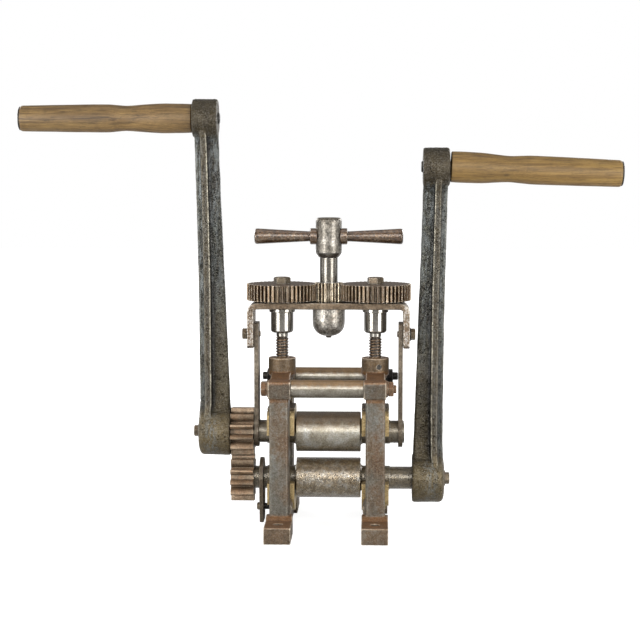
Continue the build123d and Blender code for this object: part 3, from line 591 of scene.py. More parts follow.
def smooth_shade(ob, angle):
    mesh = ob.data
    mesh.polygons.foreach_set("use_smooth", [True] * len(mesh.polygons))
    mesh.set_sharp_from_angle(angle=math.radians(angle))
    mesh.update()


def weld(mesh, distance):
    bm = bmesh.new()
    bm.from_mesh(mesh)
    bmesh.ops.remove_doubles(bm, verts=bm.verts, dist=distance)
    bmesh.ops.recalc_face_normals(bm, faces=bm.faces)
    bm.to_mesh(mesh)
    bm.free()


def new_object(name, verts, faces, mat, smooth=38):
    """verts are in mm."""
    mesh = bpy.data.meshes.new(name)
    mesh.from_pydata([tuple(c * MM for c in v) for v in verts], [], faces)
    mesh.update()
    weld(mesh, 1e-7)
    ob = add_object(name, mesh, mat)
    smooth_shade(ob, smooth)
    return ob


def bevel(ob, width_mm, segments=2, angle=32):
    mod = ob.modifiers.new("edge", "BEVEL")
    mod.width = width_mm * MM
    mod.segments = segments
    mod.limit_method = "ANGLE"
    mod.angle_limit = math.radians(angle)


def rounded(points, steps=3, closed=False):
    """Rounds the corners of a polyline. A point is (a, b) or (a, b, radius)."""
    out = []
    last = len(points) - 1
    for i, (a, b, *radius) in enumerate(points):
        if not radius or (not closed and i in (0, last)):
            out.append((a, b))
            continue
        corner = np.array([a, b], float)
        back = np.array(points[i - 1][:2], float) - corner
        ahead = np.array(points[(i + 1) % len(points)][:2], float) - corner
        back_length, ahead_length = np.linalg.norm(back), np.linalg.norm(ahead)
        start = corner + back / back_length * min(radius[0], back_length * 0.48)
        end = corner + ahead / ahead_length * min(radius[0], ahead_length * 0.48)
        for k in range(steps + 1):
            t = k / steps
            point = (1 - t) ** 2 * start + 2 * t * (1 - t) * corner + t * t * end
            out.append((float(point[0]), float(point[1])))
    return out


def on_axis(axis, along, u, v):
    """A point from its place along the X or Z axis and its two cross coordinates."""
    return (along, u, v) if axis == "X" else (u, v, along)


def skin(rows, closed=False):
    """Faces between rows of vertex numbers; a row of one vertex is a pole."""
    faces = []
    for p, q in list(zip(rows, rows[1:])) + ([(rows[-1], rows[0])] if closed else []):
        count = max(len(p), len(q))
        for k in range(count):
            k2 = (k + 1) % count
            if len(p) == 1:
                faces.append((p[0], q[k2], q[k]))
            elif len(q) == 1:
                faces.append((p[k], p[k2], q[0]))
            else:
                faces.append((p[k], p[k2], q[k2], q[k]))
    return faces


def ring(segs, shape, turn=0.0):
    """Points (along, u, v) round an axis; shape(angle) gives (along, radius)."""
    points = []
    for k in range(segs):
        angle = 2 * math.pi * k / segs + math.radians(turn)
        along, r = shape(angle)
        points.append((along, r * math.cos(angle), r * math.sin(angle)))
    return points


def ring_object(name, rings, axis, at, mat, smooth=38, sign=1, closed=False):
    verts, rows = [], []
    for points in rings:
        rows.append(range(len(verts), len(verts) + len(points)))
        for along, u, v in points:
            place = on_axis(axis, sign * along, u, v)
            verts.append(tuple(c + d for c, d in zip(place, at)))
    return new_object(name, verts, skin(rows, closed), mat, smooth)


def lathe(name, profile, axis, at, mat, segs=96, steps=3, closed=False, smooth=38, sign=1):
    """Turns a profile of (along, radius[, corner radius]) round an axis through `at`.
    closed joins its ends, for a piece with a bore; sign -1 mirrors it along the axis."""
    rings = [[(along, 0.0, 0.0)] if r < 1e-6 else ring(segs, lambda angle: (along, r))
             for along, r in rounded(profile, steps, closed)]
    return ring_object(name, rings, axis, at, mat, smooth, sign, closed)


def plate(name, outer, holes, axis, start, end, mat, bevel_mm, bevel_segs, smooth=38):
    """A flat plate across an axis, from closed loops in (Y, Z) for X or (X, Y) for Z."""
    bm = bmesh.new()
    loops = [outer] + list(holes)
    for along in (start, end):
        edges = []
        for loop in loops:
            verts = [bm.verts.new(tuple(c * MM for c in on_axis(axis, along, *p)))
                     for p in loop]
            for i in range(len(verts)):
                edges.append(bm.edges.new((verts[i], verts[(i + 1) % len(verts)])))
        bmesh.ops.triangle_fill(bm, use_beauty=True, use_dissolve=False, edges=edges)
    bm.verts.ensure_lookup_table()
    total = len(bm.verts) // 2
    first = 0
    for loop in loops:
        for i in range(len(loop)):
            a = first + i
            b = first + (i + 1) % len(loop)
            bm.faces.new([bm.verts[n] for n in (a, b, total + b, total + a)])
        first += len(loop)
    bmesh.ops.recalc_face_normals(bm, faces=bm.faces)
    mesh = bpy.data.meshes.new(name)
    bm.to_mesh(mesh)
    bm.free()
    ob = add_object(name, mesh, mat)
    bevel(ob, bevel_mm, bevel_segs)
    smooth_shade(ob, smooth)
    return ob


def circle(radius, segs, u=0.0, v=0.0):
    angles = [2 * math.pi * k / segs for k in range(segs)]
    return [(u + radius * math.cos(a), v + radius * math.sin(a)) for a in angles]


def arc(radius, z, start, end):
    """An arc of 40 points about (0, z)."""
    return [(radius * math.cos(a), z + radius * math.sin(a))
            for a in np.linspace(start, end, 40)]


def bake(ob):
    """Applies an object's modifiers into its mesh."""
    graph = bpy.context.evaluated_depsgraph_get()
    graph.update()
    mesh = bpy.data.meshes.new_from_object(ob.evaluated_get(graph), depsgraph=graph)
    old = ob.data
    ob.modifiers.clear()
    ob.data = mesh
    bpy.data.meshes.remove(old)


def join(name, parts, mat):
    verts, faces = [], []
    for part in parts:
        offset = len(verts)
        verts += [tuple(part.matrix_world @ v.co) for v in part.data.vertices]
        faces += [tuple(offset + i for i in p.vertices) for p in part.data.polygons]
    for part in parts:
        mesh = part.data
        bpy.data.objects.remove(part)
        bpy.data.meshes.remove(mesh)
    mesh = bpy.data.meshes.new(name)
    mesh.from_pydata(verts, [], faces)
    mesh.update()
    ob = add_object(name, mesh, mat)
    smooth_shade(ob, 38)
    return ob


def read_vertices(mesh, key):
    values = np.empty(len(mesh.vertices) * 3)
    mesh.vertices.foreach_get(key, values)
    return values.reshape(-1, 3)


def displace(ob, height):
    """Moves each vertex along its normal by height(place), both in mm."""
    mesh = ob.data
    places = read_vertices(mesh, "co")
    normals = read_vertices(mesh, "normal")
    offsets = np.array([height(place / MM) for place in places])
    places += normals * (offsets * MM)[:, None]
    mesh.vertices.foreach_set("co", places.ravel())
    mesh.update()


def casting(ob, voxel, lumps, lump_scale, grit, grit_scale, seed):
    """Remeshes a closed shape, softens its edges and gives it a sand-cast skin (sizes in mm)."""
    remesh = ob.modifiers.new("skin", "REMESH")
    remesh.mode = "VOXEL"
    remesh.voxel_size = voxel * MM
    remesh.adaptivity = 0.0
    soften = ob.modifiers.new("soft", "SMOOTH")
    soften.factor = 0.5
    soften.iterations = 2
    bake(ob)

    def height(place):
        p = Vector(place) + Vector((seed, seed, seed))
        return lumps * noise.noise(p / lump_scale) + grit * noise.noise(p / grit_scale)

    displace(ob, height)
    smooth_shade(ob, 60)


def copy_node(name, node, mat):
    """A new mesh that starts from a CAD node's shape."""
    mesh = NODES[node].data.copy()
    mesh.name = name
    mesh.materials.clear()
    ob = add_object(name, mesh, mat)
    weld(mesh, 2e-6)
    return ob


def hex_head(name, axis, sign, at, across, height, mat, turn, shank=None, washer_face=0.0):
    """A hex head standing from `at` along sign * axis, its top corners cut by a cone, with an
    optional shank (length, radius) the other way."""
    top_r = across / 2 * 0.94

    def hex_r(angle):
        return across / 2 / math.cos(
            (math.degrees(angle) - turn + 30) % 60 * math.pi / 180 - math.pi / 6)

    def cone(angle, share):
        r = top_r + (hex_r(angle) - top_r) * share
        return height - max(0.0, r - top_r) * 0.55, r

    if shank:
        length, shank_r = shank
        start = -length
        shapes = [lambda a: (-length, shank_r - 0.9), lambda a: (-length + 0.9, shank_r),
                  lambda a: (-0.02, shank_r)]
    else:
        start = 0
        shapes = []
    if washer_face:
        shapes += [lambda a: (0, across / 2 * 0.97), lambda a: (washer_face, across / 2 * 0.97),
                   lambda a: (washer_face, hex_r(a) - 0.25),
                   lambda a: (washer_face + 0.3, hex_r(a))]
    else:
        shapes += [lambda a: (0, hex_r(a) - 0.3), lambda a: (0.3, hex_r(a))]
    shapes += [lambda a: cone(a, 1.0), lambda a: cone(a, 0.5),
               lambda a: (height, top_r), lambda a: (height, top_r * 0.5)]
    rings = [[(start, 0, 0)]] + [ring(72, shape, turn) for shape in shapes]
    rings.append([(height, 0, 0)])
    ob = ring_object(name, rings, axis, at, mat, 25, sign)
    bevel(ob, 0.18, 1, 40)
    return ob


# ------------------------------------------------------------------ side frames
for side, seed in (("left", 3.0), ("right", 9.0)):
    ob = copy_node(f"cast_{side}_side_frame", side + "_side_frame", frame_iron)
    casting(ob, voxel=0.9, lumps=0.22, lump_scale=18.0, grit=0.12,
            grit_scale=2.2, seed=seed)
    own(ob, "frame", "frame_iron", side + "_side_frame")

# ------------------------------------------------------------------ cranks
CRANK_BOLT_BORE = 4.2
SPIGOT_BORE = SPIGOT_R + 0.2


def unit(value):
    return np.clip(value, 0, 1)


def arm_stations(hub_z, boss_z, outer, inner):
    """Sections of the arm, bottom to top, as (z, outer x, inner x, half depth of the web,
    half depth of the rib, near and far side of the rib measured in from the outer x)."""
    heights = sorted(set(
        [hub_z + rise for rise in (17, 22, 26, 30, 34, 39, 46, 56)]
        + list(np.linspace(hub_z + 70, boss_z - 60, 14))
        + [boss_z - drop for drop in (48, 38, 31, 27, 24, 20, 14)]))
    stations = []
    for z in heights:
        share = (z - hub_z) / (boss_z - hub_z)
        # 1 at an end of the arm, where it spreads into the hub or the boss
        low = unit(1 - (z - hub_z - 24) / 26.0)
        high = unit(1 - (boss_z - 20 - z) / 14.0)
        low, high = low * low, high * high
        web = 5.6 + 10 * low + 7.5 * high
        rib = (19.5 - 6.0 * share) + 4.0 * low + 4.5 * high
        stations.append((z, np.interp(z, *zip(*outer)), np.interp(z, *zip(*inner)), web,
                         max(rib, web + 3.2), 6.8 + 0.6 * share, 15.6 + 0.4 * share))
    return stations


def crank_arm(side, stations):
    """Lofts the cruciform arm through its stations."""
    verts, rows = [], []
    for z, outer, inner, web, rib, near, far in stations:
        a = outer - side * near
        b = outer - side * far
        half = [
            (outer, -web * 0.72), (outer - side * 2.2, -web), (a + side * 1.4, -web - 0.4),
            (a, -web - 1.6), (a - side * 0.4, -rib + 0.8), (a - side * 1.2, -rib),
            (b + side * 1.0, -rib), (b + side * 0.3, -rib + 0.8), (b, -web - 1.6),
            (b - side * 1.4, -web - 0.2), (inner + side * 2.2, -web), (inner, -web * 0.72),
        ]
        loop = half + [(x, -y) for x, y in reversed(half)]
        rows.append(range(len(verts), len(verts) + len(loop)))
        verts += [(x, y, z) for x, y in loop]
    faces = skin(rows) + [tuple(reversed(rows[0])), tuple(rows[-1])]
    return new_object("arm", verts, faces, crank_iron)


def mark_wear(ob, side, stations, hub_z, boss_z):
    """Stores where the arm is worn bright with a painted highlight, dirty with painted shade,
    tan and scraped, for its material.
    """
    mesh = ob.data
    x, y, z = (read_vertices(mesh, "co") / MM).T
    y = np.abs(y)
    columns = list(zip(*stations))
    outer, web, rib, near, far = (np.interp(z, columns[0], columns[k])
                                  for k in (1, 3, 4, 5, 6))
    a = outer - side * near
    b = outer - side * far
    share = unit((z - hub_z) / (boss_z - hub_z))
    # 1 along the free length of the arm, and at its two ends
    live = unit((z - stations[0][0] - 6) / 14) * unit((stations[-1][0] - z - 2) / 8)
    top_end = unit((z - boss_z + 24) / 5)
    low_end = unit((hub_z + 30 - z) / 8)
    # Corners of the rib and of the outer flange, worn bright, with a painted highlight strongest
    # on the rib's inner corner
    inner_corner = np.exp(-((x - b - side * 0.9) ** 2 + (y - rib + 0.5) ** 2) / 0.75 ** 2)
    outer_corner = np.exp(-((x - a + side * 0.9) ** 2 + (y - rib + 0.5) ** 2) / 0.9 ** 2)
    flange = np.exp(-((x - outer + side * 0.8) ** 2
                      + np.clip(np.abs(y - web * 0.86) - 1.0, 0, 9) ** 2) / 0.8 ** 2)
    wear_and_highlight = (0.9 * inner_corner + 0.2 * outer_corner + 0.15 * flange) * live

    # Faces of the rib, and of the web on its inner side
    on_rib = (unit(((x - b) * side - 1.5) / 1.0) * unit(((a - x) * side + 1.0) / 1.5)
              * unit((y - web - 1.0) / 1.5))
    on_web = unit(((b - x) * side) / 3.0) * np.clip(0.75 - 1.5 * share, 0.0, 0.6)
    tan = np.maximum(np.maximum(on_rib * 0.95, on_web), np.maximum(top_end, low_end))

    # Grime and painted shade where the rib meets the web, deepest on the rib's inner side
    off = np.clip(y - web - 2, 0, 99)
    inner_root = np.exp(-((x - b + side * 1.4) ** 2 / 2.2 ** 2 + off ** 2 / 3.0 ** 2))
    outer_root = np.exp(-((x - a - side * 0.4) ** 2 / 1.2 ** 2 + off ** 2 / 3.0 ** 2))
    dirt_and_shade = (inner_root + 0.4 * outer_root) * live
    dirt_and_shade = np.maximum(dirt_and_shade, np.maximum(top_end * 0.68, on_rib * live * 0.66))

    scrape = (unit(((x - a) * side) / 1.5) * live * unit(0.35 + 0.9 * share)
              * (1.0 if side < 0 else 0.55))
    scrape = np.maximum(scrape, unit(((b - x) * side) / 2.0) * live
                        * np.clip((share - 0.2) * 1.1, 0, 0.6))
    scrape = np.maximum(scrape, 0.18 * on_rib * live)
    scrape = np.maximum(scrape, low_end * 0.55
                        * np.exp(-((x - outer + side * 16) ** 2 / 9.0 ** 2)))
    for key, values in (("wear_and_highlight", wear_and_highlight), ("dirt_and_shade", dirt_and_shade), ("tan", tan), ("scrape", scrape)):
        attribute = mesh.attributes.new(key, "FLOAT", "POINT")
        attribute.data.foreach_set("value", unit(values).astype(np.float32))


def crank(side, name, hub_in, hub_out, hub_z, boss, boss_z, outer, inner, socket_x):
    """outer and inner are the arm's edges as (z, x); the roll's spigot ends at socket_x."""
    stations = arm_stations(hub_z, boss_z, outer, inner)
    arm = crank_arm(side, stations)
    hub = lathe("hub", [
        (hub_in, SPIGOT_BORE), (hub_in, 29.2, 1.2), (hub_in + side * 3, 30.0),
        (hub_out - side * 4, 29.6, 4), (hub_out - side, 25.5, 3), (hub_out, 19),
        (hub_out, CRANK_BOLT_BORE), (socket_x, CRANK_BOLT_BORE), (socket_x, SPIGOT_BORE),
    ], "X", (0, 0, hub_z), crank_iron, steps=4, closed=True)
    left, right = boss
    eye = lathe("boss", [
        (left, PIN_R), (left, 22.6, 1.6), (left + 3, 23.4),
        (right - 3, 23.4), (right, 22.6, 1.6), (right, PIN_R),
    ], "X", (0, 0, boss_z), crank_iron, steps=4, closed=True)
    ob = join(name, [arm, hub, eye], crank_iron)
    casting(ob, voxel=0.8, lumps=0.4, lump_scale=20.0, grit=0.26,
            grit_scale=1.9, seed=20.0 * side)
    mark_wear(ob, side, stations, hub_z, boss_z)
    return ob


left_crank = crank(
    -1, "cast_left_crank", hub_in=-121.6, hub_out=-161.0, hub_z=UPPER_Z,
    boss=(LEFT_BOSS_X, -136.0), boss_z=LEFT_GRIP_Z, socket_x=-153.0,
    outer=[(117, -160.6), (134, -160.6), (146, -160.2), (156, -159.6), (175, -159.8),
           (200, -160.2), (294, -160.6), (390, -162.4), (480, -164.8), (505, -166.0)],
    inner=[(117, -122.4), (140, -122.4), (151, -122.6), (200, -124.4), (294, -128.5),
           (390, -132.6), (480, -135.6), (505, -136.6)])
own(left_crank, "upper_roll_set", "crank_iron", "left_crank")
right_crank = crank(
    1, "cast_right_crank", hub_in=104.0, hub_out=143.5, hub_z=LOWER_Z,
    boss=(115.5, RIGHT_BOSS_X), boss_z=RIGHT_GRIP_Z, socket_x=136.0,
    outer=[(59, 142.6), (78, 142.6), (90, 141.9), (110, 141.6), (156, 141.7),
           (281, 142.8), (355, 144.6), (423, 146.0), (446, 147.2)],
    inner=[(59, 104.6), (80, 104.6), (93, 105.2), (156, 107.2), (281, 111.4),
           (355, 114.2), (423, 116.0), (446, 116.4)])
own(right_crank, "lower_roll_set", "crank_iron", "right_crank")

# Bolt and washer on each hub: side, body, axis height, hub face, turn (degrees), shank length
CRANK_BOLTS = ((-1, "left", "upper_roll_set", UPPER_Z, 161.0, 12, 27),
               (1, "right", "lower_roll_set", LOWER_Z, 143.5, 40, 26))
WASHER_THICK = 1.6
for sign, side, body, z, face, turn, shank in CRANK_BOLTS:
    seat = face + WASHER_THICK
    bolt = hex_head(f"hex_{side}_crank_bolt", "X", sign, (sign * seat, 0, z), across=13,
                    height=5.3, mat=fastener_steel, turn=turn, shank=(shank, 4.0))
    own(bolt, body, "fastener_steel", side + "_crank_bolt")
    profile = [(face, 4.1), (face, 9.5, 0.3), (seat, 9.4, 0.5), (seat, 4.1)]
    if sign < 0:
        profile.reverse()
    washer = lathe(f"disc_{side}_crank_washer", profile, "X", (0, 0, z), fastener_steel,
                   segs=64, closed=True, sign=sign)
    own(washer, body, "fastener_steel", side + "_crank_washer")

# ------------------------------------------------------------------ grips and their pins
GRIP_BORE = PIN_R + 0.06
# The right grip leans about Y at the face of its boss
RIGHT_TILT = (Matrix.Translation((RIGHT_BOSS_X * MM, 0, RIGHT_GRIP_Z * MM))
              @ Matrix.Rotation(math.radians(2.3), 4, "Y"))


def catmull(points, steps=9):
    """A smooth curve through the points."""
    out = []
    padded = [points[0]] + list(points) + [points[-1]]
    for i in range(1, len(padded) - 2):
        p0, p1, p2, p3 = (np.array(p, float) for p in padded[i - 1:i + 3])
        for k in range(steps):
            t = k / steps
            out.append(tuple(0.5 * (
                (2 * p1) + (-p0 + p2) * t + (2 * p0 - 5 * p1 + 4 * p2 - p3) * t * t
                + (-p0 + 3 * p1 - 3 * p2 + p3) * t ** 3)))
    out.append(tuple(points[-1]))
    return out


def hand_worn(ob, seed):
    """Makes a turned grip slightly uneven."""
    shift = Vector((seed, seed * 2, -seed))
    displace(ob, lambda place: 0.12 * noise.noise(Vector(place / 22.0) + shift))


# (distance out from the boss, radius)
LEFT_GRIP = [(1.4, 17.5), (10, 17.85), (20, 18.0), (38, 18.15), (58, 17.0), (80, 15.4),
             (93, 16.2), (106, 17.1), (140, 16.9), (180, 16.3), (206, 15.9), (210.6, 15.7)]
grip = lathe("turned_left_grip", [
    (0.4, GRIP_BORE), (0.4, 16.4), *catmull(LEFT_GRIP),
    (211.9, 15.0), (212.2, 14.0), (212.2, GRIP_BORE),
], "X", (LEFT_BOSS_X, 0, LEFT_GRIP_Z), left_wood, segs=128, closed=True, smooth=50, sign=-1)
hand_worn(grip, 1.0)
own(grip, "left_grip_body", "grip_wood", "left_grip")

RIGHT_GRIP = [(2.4, 18.8), (10, 18.95), (20, 18.95), (40, 18.5), (58, 17.0), (73, 16.05),
              (88, 16.9), (104, 17.55), (140, 17.3), (180, 16.8), (204, 16.4), (207.6, 16.2)]
grip = lathe("turned_right_grip", [
    (1.4, GRIP_BORE), (1.4, 17.8), *catmull(RIGHT_GRIP),
    (209.2, 15.5), (209.6, 14.6), (209.6, GRIP_BORE),
], "X", (0, 0, 0), right_wood, segs=128, closed=True, smooth=50)
grip.data.transform(RIGHT_TILT)
hand_worn(grip, 5.0)
own(grip, "right_grip_body", "grip_wood", "right_grip")

left_pin = lathe("left_crank_pin", [
    (133.8, 0), (133.8, 5.6), (134.4, 6.6, 0.5), (136.0, PIN_R), (379.3, PIN_R),
    (379.3, 14.5, 0.3), (380.6, 14.6, 0.6), (381.4, 13.2, 0.8), (381.2, 6.5),
    (381.5, 5.0, 0.4), (381.5, 0),
], "X", (0, 0, LEFT_GRIP_Z), dark_fastener, segs=72, sign=-1)
own(left_pin, "upper_roll_set", "fastener_steel", "left_grip_spindle")
in_boss = lathe("pin_in_boss", [
    (113.3, 0), (113.3, 5.6), (113.9, 6.6, 0.5), (115.6, PIN_R), (148.4, PIN_R), (148.4, 0),
], "X", (0, 0, RIGHT_GRIP_Z), dark_fastener, segs=72)
in_grip = lathe("pin_in_grip", [
    (0, 0), (0, PIN_R), (209.6, PIN_R), (209.6, 15.0, 0.3), (210.8, 15.1, 0.6),
    (211.7, 13.6, 0.8), (211.5, 6.5), (211.8, 5.0, 0.4), (211.8, 0),
], "X", (0, 0, 0), dark_fastener, segs=72)
in_grip.data.transform(RIGHT_TILT)
own(join("right_crank_pin", [in_boss, in_grip], dark_fastener), "lower_roll_set",
    "fastener_steel", "right_grip_spindle")

# ------------------------------------------------------------------ rolls
# Right half of the barrel and its shoulders, which both rolls share: (x, radius, corner)
HALF_BARREL = [(39.3, 25, 0.5), (40, 24.3, 0.3), (40, 16.5, 1.5), (42.5, 15), (76.2, 15),
               (76.2, JOURNAL_R)]
BARREL = [(-x, *rest) for x, *rest in reversed(HALF_BARREL)] + HALF_BARREL
upper_roll = lathe("upper_roll_turned", [
    (-153, 0), (-153, 10.2), (-152.2, SPIGOT_R), (-121, SPIGOT_R), (-121, JOURNAL_R), *BARREL,
    (93.2, JOURNAL_R, 0.3), (94, 13.2, 0.3), (94, 3.0), (91.5, 0.0),
], "X", (0, 0, UPPER_Z), roll_steel, segs=160)
own(upper_roll, "upper_roll_set", "roll_steel", "upper_roll")
lower_roll = lathe("lower_roll_turned", [
    (-121, 0), (-121, 13.2, 0.3), (-120.2, JOURNAL_R, 0.3), *BARREL,
    (104, JOURNAL_R), (104, SPIGOT_R), (135.2, SPIGOT_R), (136, 10.2), (136, 0),
], "X", (0, 0, LOWER_Z), pitted_roll_steel, segs=160)
own(lower_roll, "lower_roll_set", "roll_steel", "lower_roll")


# ------------------------------------------------------------------ gears
def gear_outline(teeth, pitch_r, pressure, root, tip, lash, first, steps, tip_round):
    """Involute teeth; pressure is the pressure angle and first the angle of the first tooth,
    in degrees."""
    pressure = math.radians(pressure)
    base = pitch_r * math.cos(pressure)
    radii = [root + (tip - tip_round - root) * k / steps for k in range(steps + 1)]

    def involute(angle):
        return math.tan(angle) - angle

    def half_angle(r):
        roll = math.acos(min(1.0, base / max(r, base + 1e-6)))
        return math.pi / teeth / 2 + involute(pressure) - involute(roll) - lash / 2 / pitch_r

    tip_half = half_angle(tip - tip_round)
    shoulder = tip - tip_round * 0.25
    points = []
    for tooth in range(teeth):
        middle = math.radians(first) + 2 * math.pi * tooth / teeth
        rise = [(r, middle - half_angle(r)) for r in radii]
        top = [(shoulder, middle - tip_half * 0.9), (tip, middle - tip_half * 0.6),
               (tip, middle + tip_half * 0.6), (shoulder, middle + tip_half * 0.9)]
        points += rise + top + [(r, 2 * middle - angle) for r, angle in reversed(rise)]
    return [(r * math.cos(angle), r * math.sin(angle)) for r, angle in points]


for level, z, first in (("upper", UPPER_Z, -81), ("lower", LOWER_Z, 96)):
    teeth = gear_outline(teeth=12, pitch_r=50.25 / 2, pressure=14.5, root=19.7, tip=30.25,
                         lash=0.2, first=first, steps=6, tip_round=0.35)
    ob = plate(f"cut_{level}_roll_gear", [(y, z + w) for y, w in teeth],
               [circle(JOURNAL_R + 0.02, 48, 0, z)], "X", -121.0, -92.5, roll_gear_steel,
               bevel_mm=0.45, bevel_segs=2, smooth=42)
    own(ob, level + "_roll_set", "gear_steel", level + "_roll_gear")

for sign, side in SIDES:
    teeth = gear_outline(teeth=SCREW_GEAR_TEETH, pitch_r=SCREW_GEAR_R, pressure=20, root=39.81,
                         tip=SCREW_GEAR_R + MODULE, lash=0.12, first=3.75, steps=4,
                         tip_round=0.15)
    outline = [(sign * SCREW_X + sign * x, y) for x, y in teeth]
    if sign < 0:
        outline.reverse()
    ob = plate(f"cut_{side}_screw_gear", outline, [circle(8.02, 48, sign * SCREW_X, 0)], "Z",
               *SCREW_GEAR_Z, gear_steel, bevel_mm=0.22, bevel_segs=1, smooth=42)
    own(ob, side + "_screw", "gear_steel", side + "_screw_gear")

# ------------------------------------------------------------------ pinion and tee handle
teeth = gear_outline(teeth=PINION_TEETH, pitch_r=PINION_R, pressure=20,
                     root=PINION_R - 1.25 * MODULE, tip=PINION_R + MODULE, lash=0.12, first=0,
                     steps=5, tip_round=0.2)
pinion = plate("cut_pinion", teeth, [], "Z", 279.6, 303.0, pinion_steel, bevel_mm=0.25,
               bevel_segs=1)
bake(pinion)
smooth_shade(pinion, 42)
tee_shaft = lathe("turned_tee_shaft", [
    (246.4, 0), (246.4, 8.2), (247.4, 9), (279.3, 9), (279.3, 12.6, 0.4), (303.6, 12.6, 0.4),
    (303.6, 11), (333.8, 11), (334.6, 12.4), (336.0, 13.6, 0.8), (339.6, 16, 1.2),
    (380.8, 16, 1.6), (383, 13.8, 1.2), (383, 11.4, 0.4), (381.8, 10.4, 0.4), (381.6, 4.0),
    (381.9, 0),
], "Z", (0, 0, 0), shaft_steel, segs=128, steps=4)
own(pinion, "tee", "gear_steel")
own(tee_shaft, "tee", "bright_steel", "tee_shaft")
# The hub at the head of the shaft is pitted
HUB_START_Z = 344.5
tee_shaft.data.materials.append(hub_steel)
for face in tee_shaft.data.polygons:
    face.material_index = 1 if face.center.z > HUB_START_Z * MM else 0

for sign, side in SIDES:
    ob = lathe(side + "_tee_bar", [
        (3, 0), (3, 5), (14.0, 5), (14.0, 9.3, 0.4), (14.8, 10, 0.4), (22.2, 10, 0.5),
        (23.0, 9.2, 0.5), (23.0, 6.6, 0.4), (24.5, 6.2), (60, 8.05), (87.5, 9.62, 0.8),
        (90.2, 9.4, 0.9), (91.5, 7.4, 0.9), (91.5, 0),
    ], "X", (0, 0, TEE_BAR_Z), tee_bar_steel, sign=sign)
    own(ob, "tee", "gear_steel", *(["tee_bars"] if sign < 0 else []))

# ------------------------------------------------------------------ pressure screws
THREAD_PITCH = 3.5
THREAD_ROOT_R, THREAD_CREST_R = 6.72, 7.98
SCREW_SEGS = 64
# (z, radius) of the foot, and (z, radius, corner) from the thread's top to the gear seat
SCREW_FOOT = [(149.6, 5.2), (149.8, 5.5), (152.6, 5.5)]
SCREW_HEAD = [
    (THREAD_TOP_Z, THREAD_ROOT_R), (236.3, 7.3, 0.3), (240.7, 7.3, 0.6), (241.0, 8.2),
    (241.0, 11.4), (241.4, 12.6, 0.5), (243.2, 14.0, 0.6), (266.3, 14.0, 0.3),
    (266.5, 15.6, 0.4), (266.9, 16.0, 0.3), (270.4, 16.0, 0.3), (270.95, 15.6, 0.2),
    (271.0, 10.0), (281.3, 10.0), (281.5, 8.0), (301.3, 8.0),
]


def pressure_screw(name, x):
    """A screw with a true helical thread."""
    def thread(z, angle):
        fade = min(1.0, (z - 152.8) / 2.0, (236.0 - z) / 1.5)
        phase = ((z / THREAD_PITCH) - angle / (2 * math.pi)) % 1.0
        ridge = 1 - abs(phase - 0.5) * 2
        crest = min(1.0, max(0.0, (ridge - 0.14) / 0.52))
        crest = crest * crest * (3 - 2 * crest)
        return z, THREAD_ROOT_R + (THREAD_CREST_R - THREAD_ROOT_R) * crest * fade

    rings = [[(SCREW_FOOT[0][0], 0, 0)]]
    rings += [ring(SCREW_SEGS, lambda angle: row) for row in SCREW_FOOT]
    rings += [ring(SCREW_SEGS, lambda angle: thread(z, angle))
              for z in np.arange(153.0, 235.8, 0.25)]
    rings += [ring(SCREW_SEGS, lambda angle: row) for row in rounded(SCREW_HEAD)]
    rings.append([(SCREW_HEAD[-1][0], 0, 0)])
    return ring_object(name, rings, "Z", (x, 0, 0), screw_steel, smooth=40)


for (sign, side), turn in zip(SIDES, (25, 12)):
    own(pressure_screw(f"threaded_{side}_screw", sign * SCREW_X), side + "_screw",
        "bright_steel", side + "_pressure_screw")
    bolt = hex_head(f"hex_{side}_gear_bolt", "Z", 1, (sign * SCREW_X, 0, SCREW_GEAR_Z[1]),
                    across=18.5, height=8.2, mat=fastener_steel, turn=turn, shank=(20, 5.0),
                    washer_face=0.6)
    own(bolt, side + "_screw", "fastener_steel", side + "_gear_bolt")

# ------------------------------------------------------------------ bridge
bridge = copy_node("bent_bridge_plate", "bridge_plate", plate_steel)
casting(bridge, voxel=0.9, lumps=0.18, lump_scale=16, grit=0.14,
        grit_scale=1.8, seed=33.0)
own(bridge, "bridge", "plate_steel", "bridge_plate")

# Straps that hang from the ears of the bridge, each with a round eye about the upper roll
STRAP_X = (86.3, 91.8)
STRAP_OUTLINE = [
    (15, 130.0), (15, 252.0), (14, 253.5), (-14, 253.5), (-15, 252.0), (-15, 130.0),
    *arc(19, UPPER_Z, math.pi - 0.62, 2 * math.pi + 0.62),
]
for sign, side in SIDES:
    start, end = sorted(sign * x for x in STRAP_X)
    holes = [circle(JOURNAL_R + 0.06, 64, 0, UPPER_Z), circle(4.0, 32, 0, EAR_Z)]
    ob = plate(side + "_hanger_strap", STRAP_OUTLINE, holes, "X", start, end, strap_steel,
               bevel_mm=0.5, bevel_segs=2, smooth=40)
    own(ob, "bridge", "plate_steel", *(["bridge_straps"] if sign < 0 else []))

cup = lathe("turned_pinion_cup", [
    (246.0, 0), (246.0, 9.06), (279.0, 9.06), (279.0, 13.0), (271.0, 13.0), (271.0, 20.0, 0.4),
    (253.0, 20.0, 4), (247.0, 19.0, 4), (241.5, 15.4, 4), (238.0, 10.0, 3), (236.8, 4.6, 1),
    (236.2, 3.6, 0.4), (234.6, 3.2, 0.5), (234.4, 0),
], "Z", (0, 0, 0), cup_steel, segs=128, steps=5)
own(cup, "bridge", "bright_steel", "pinion_cup")

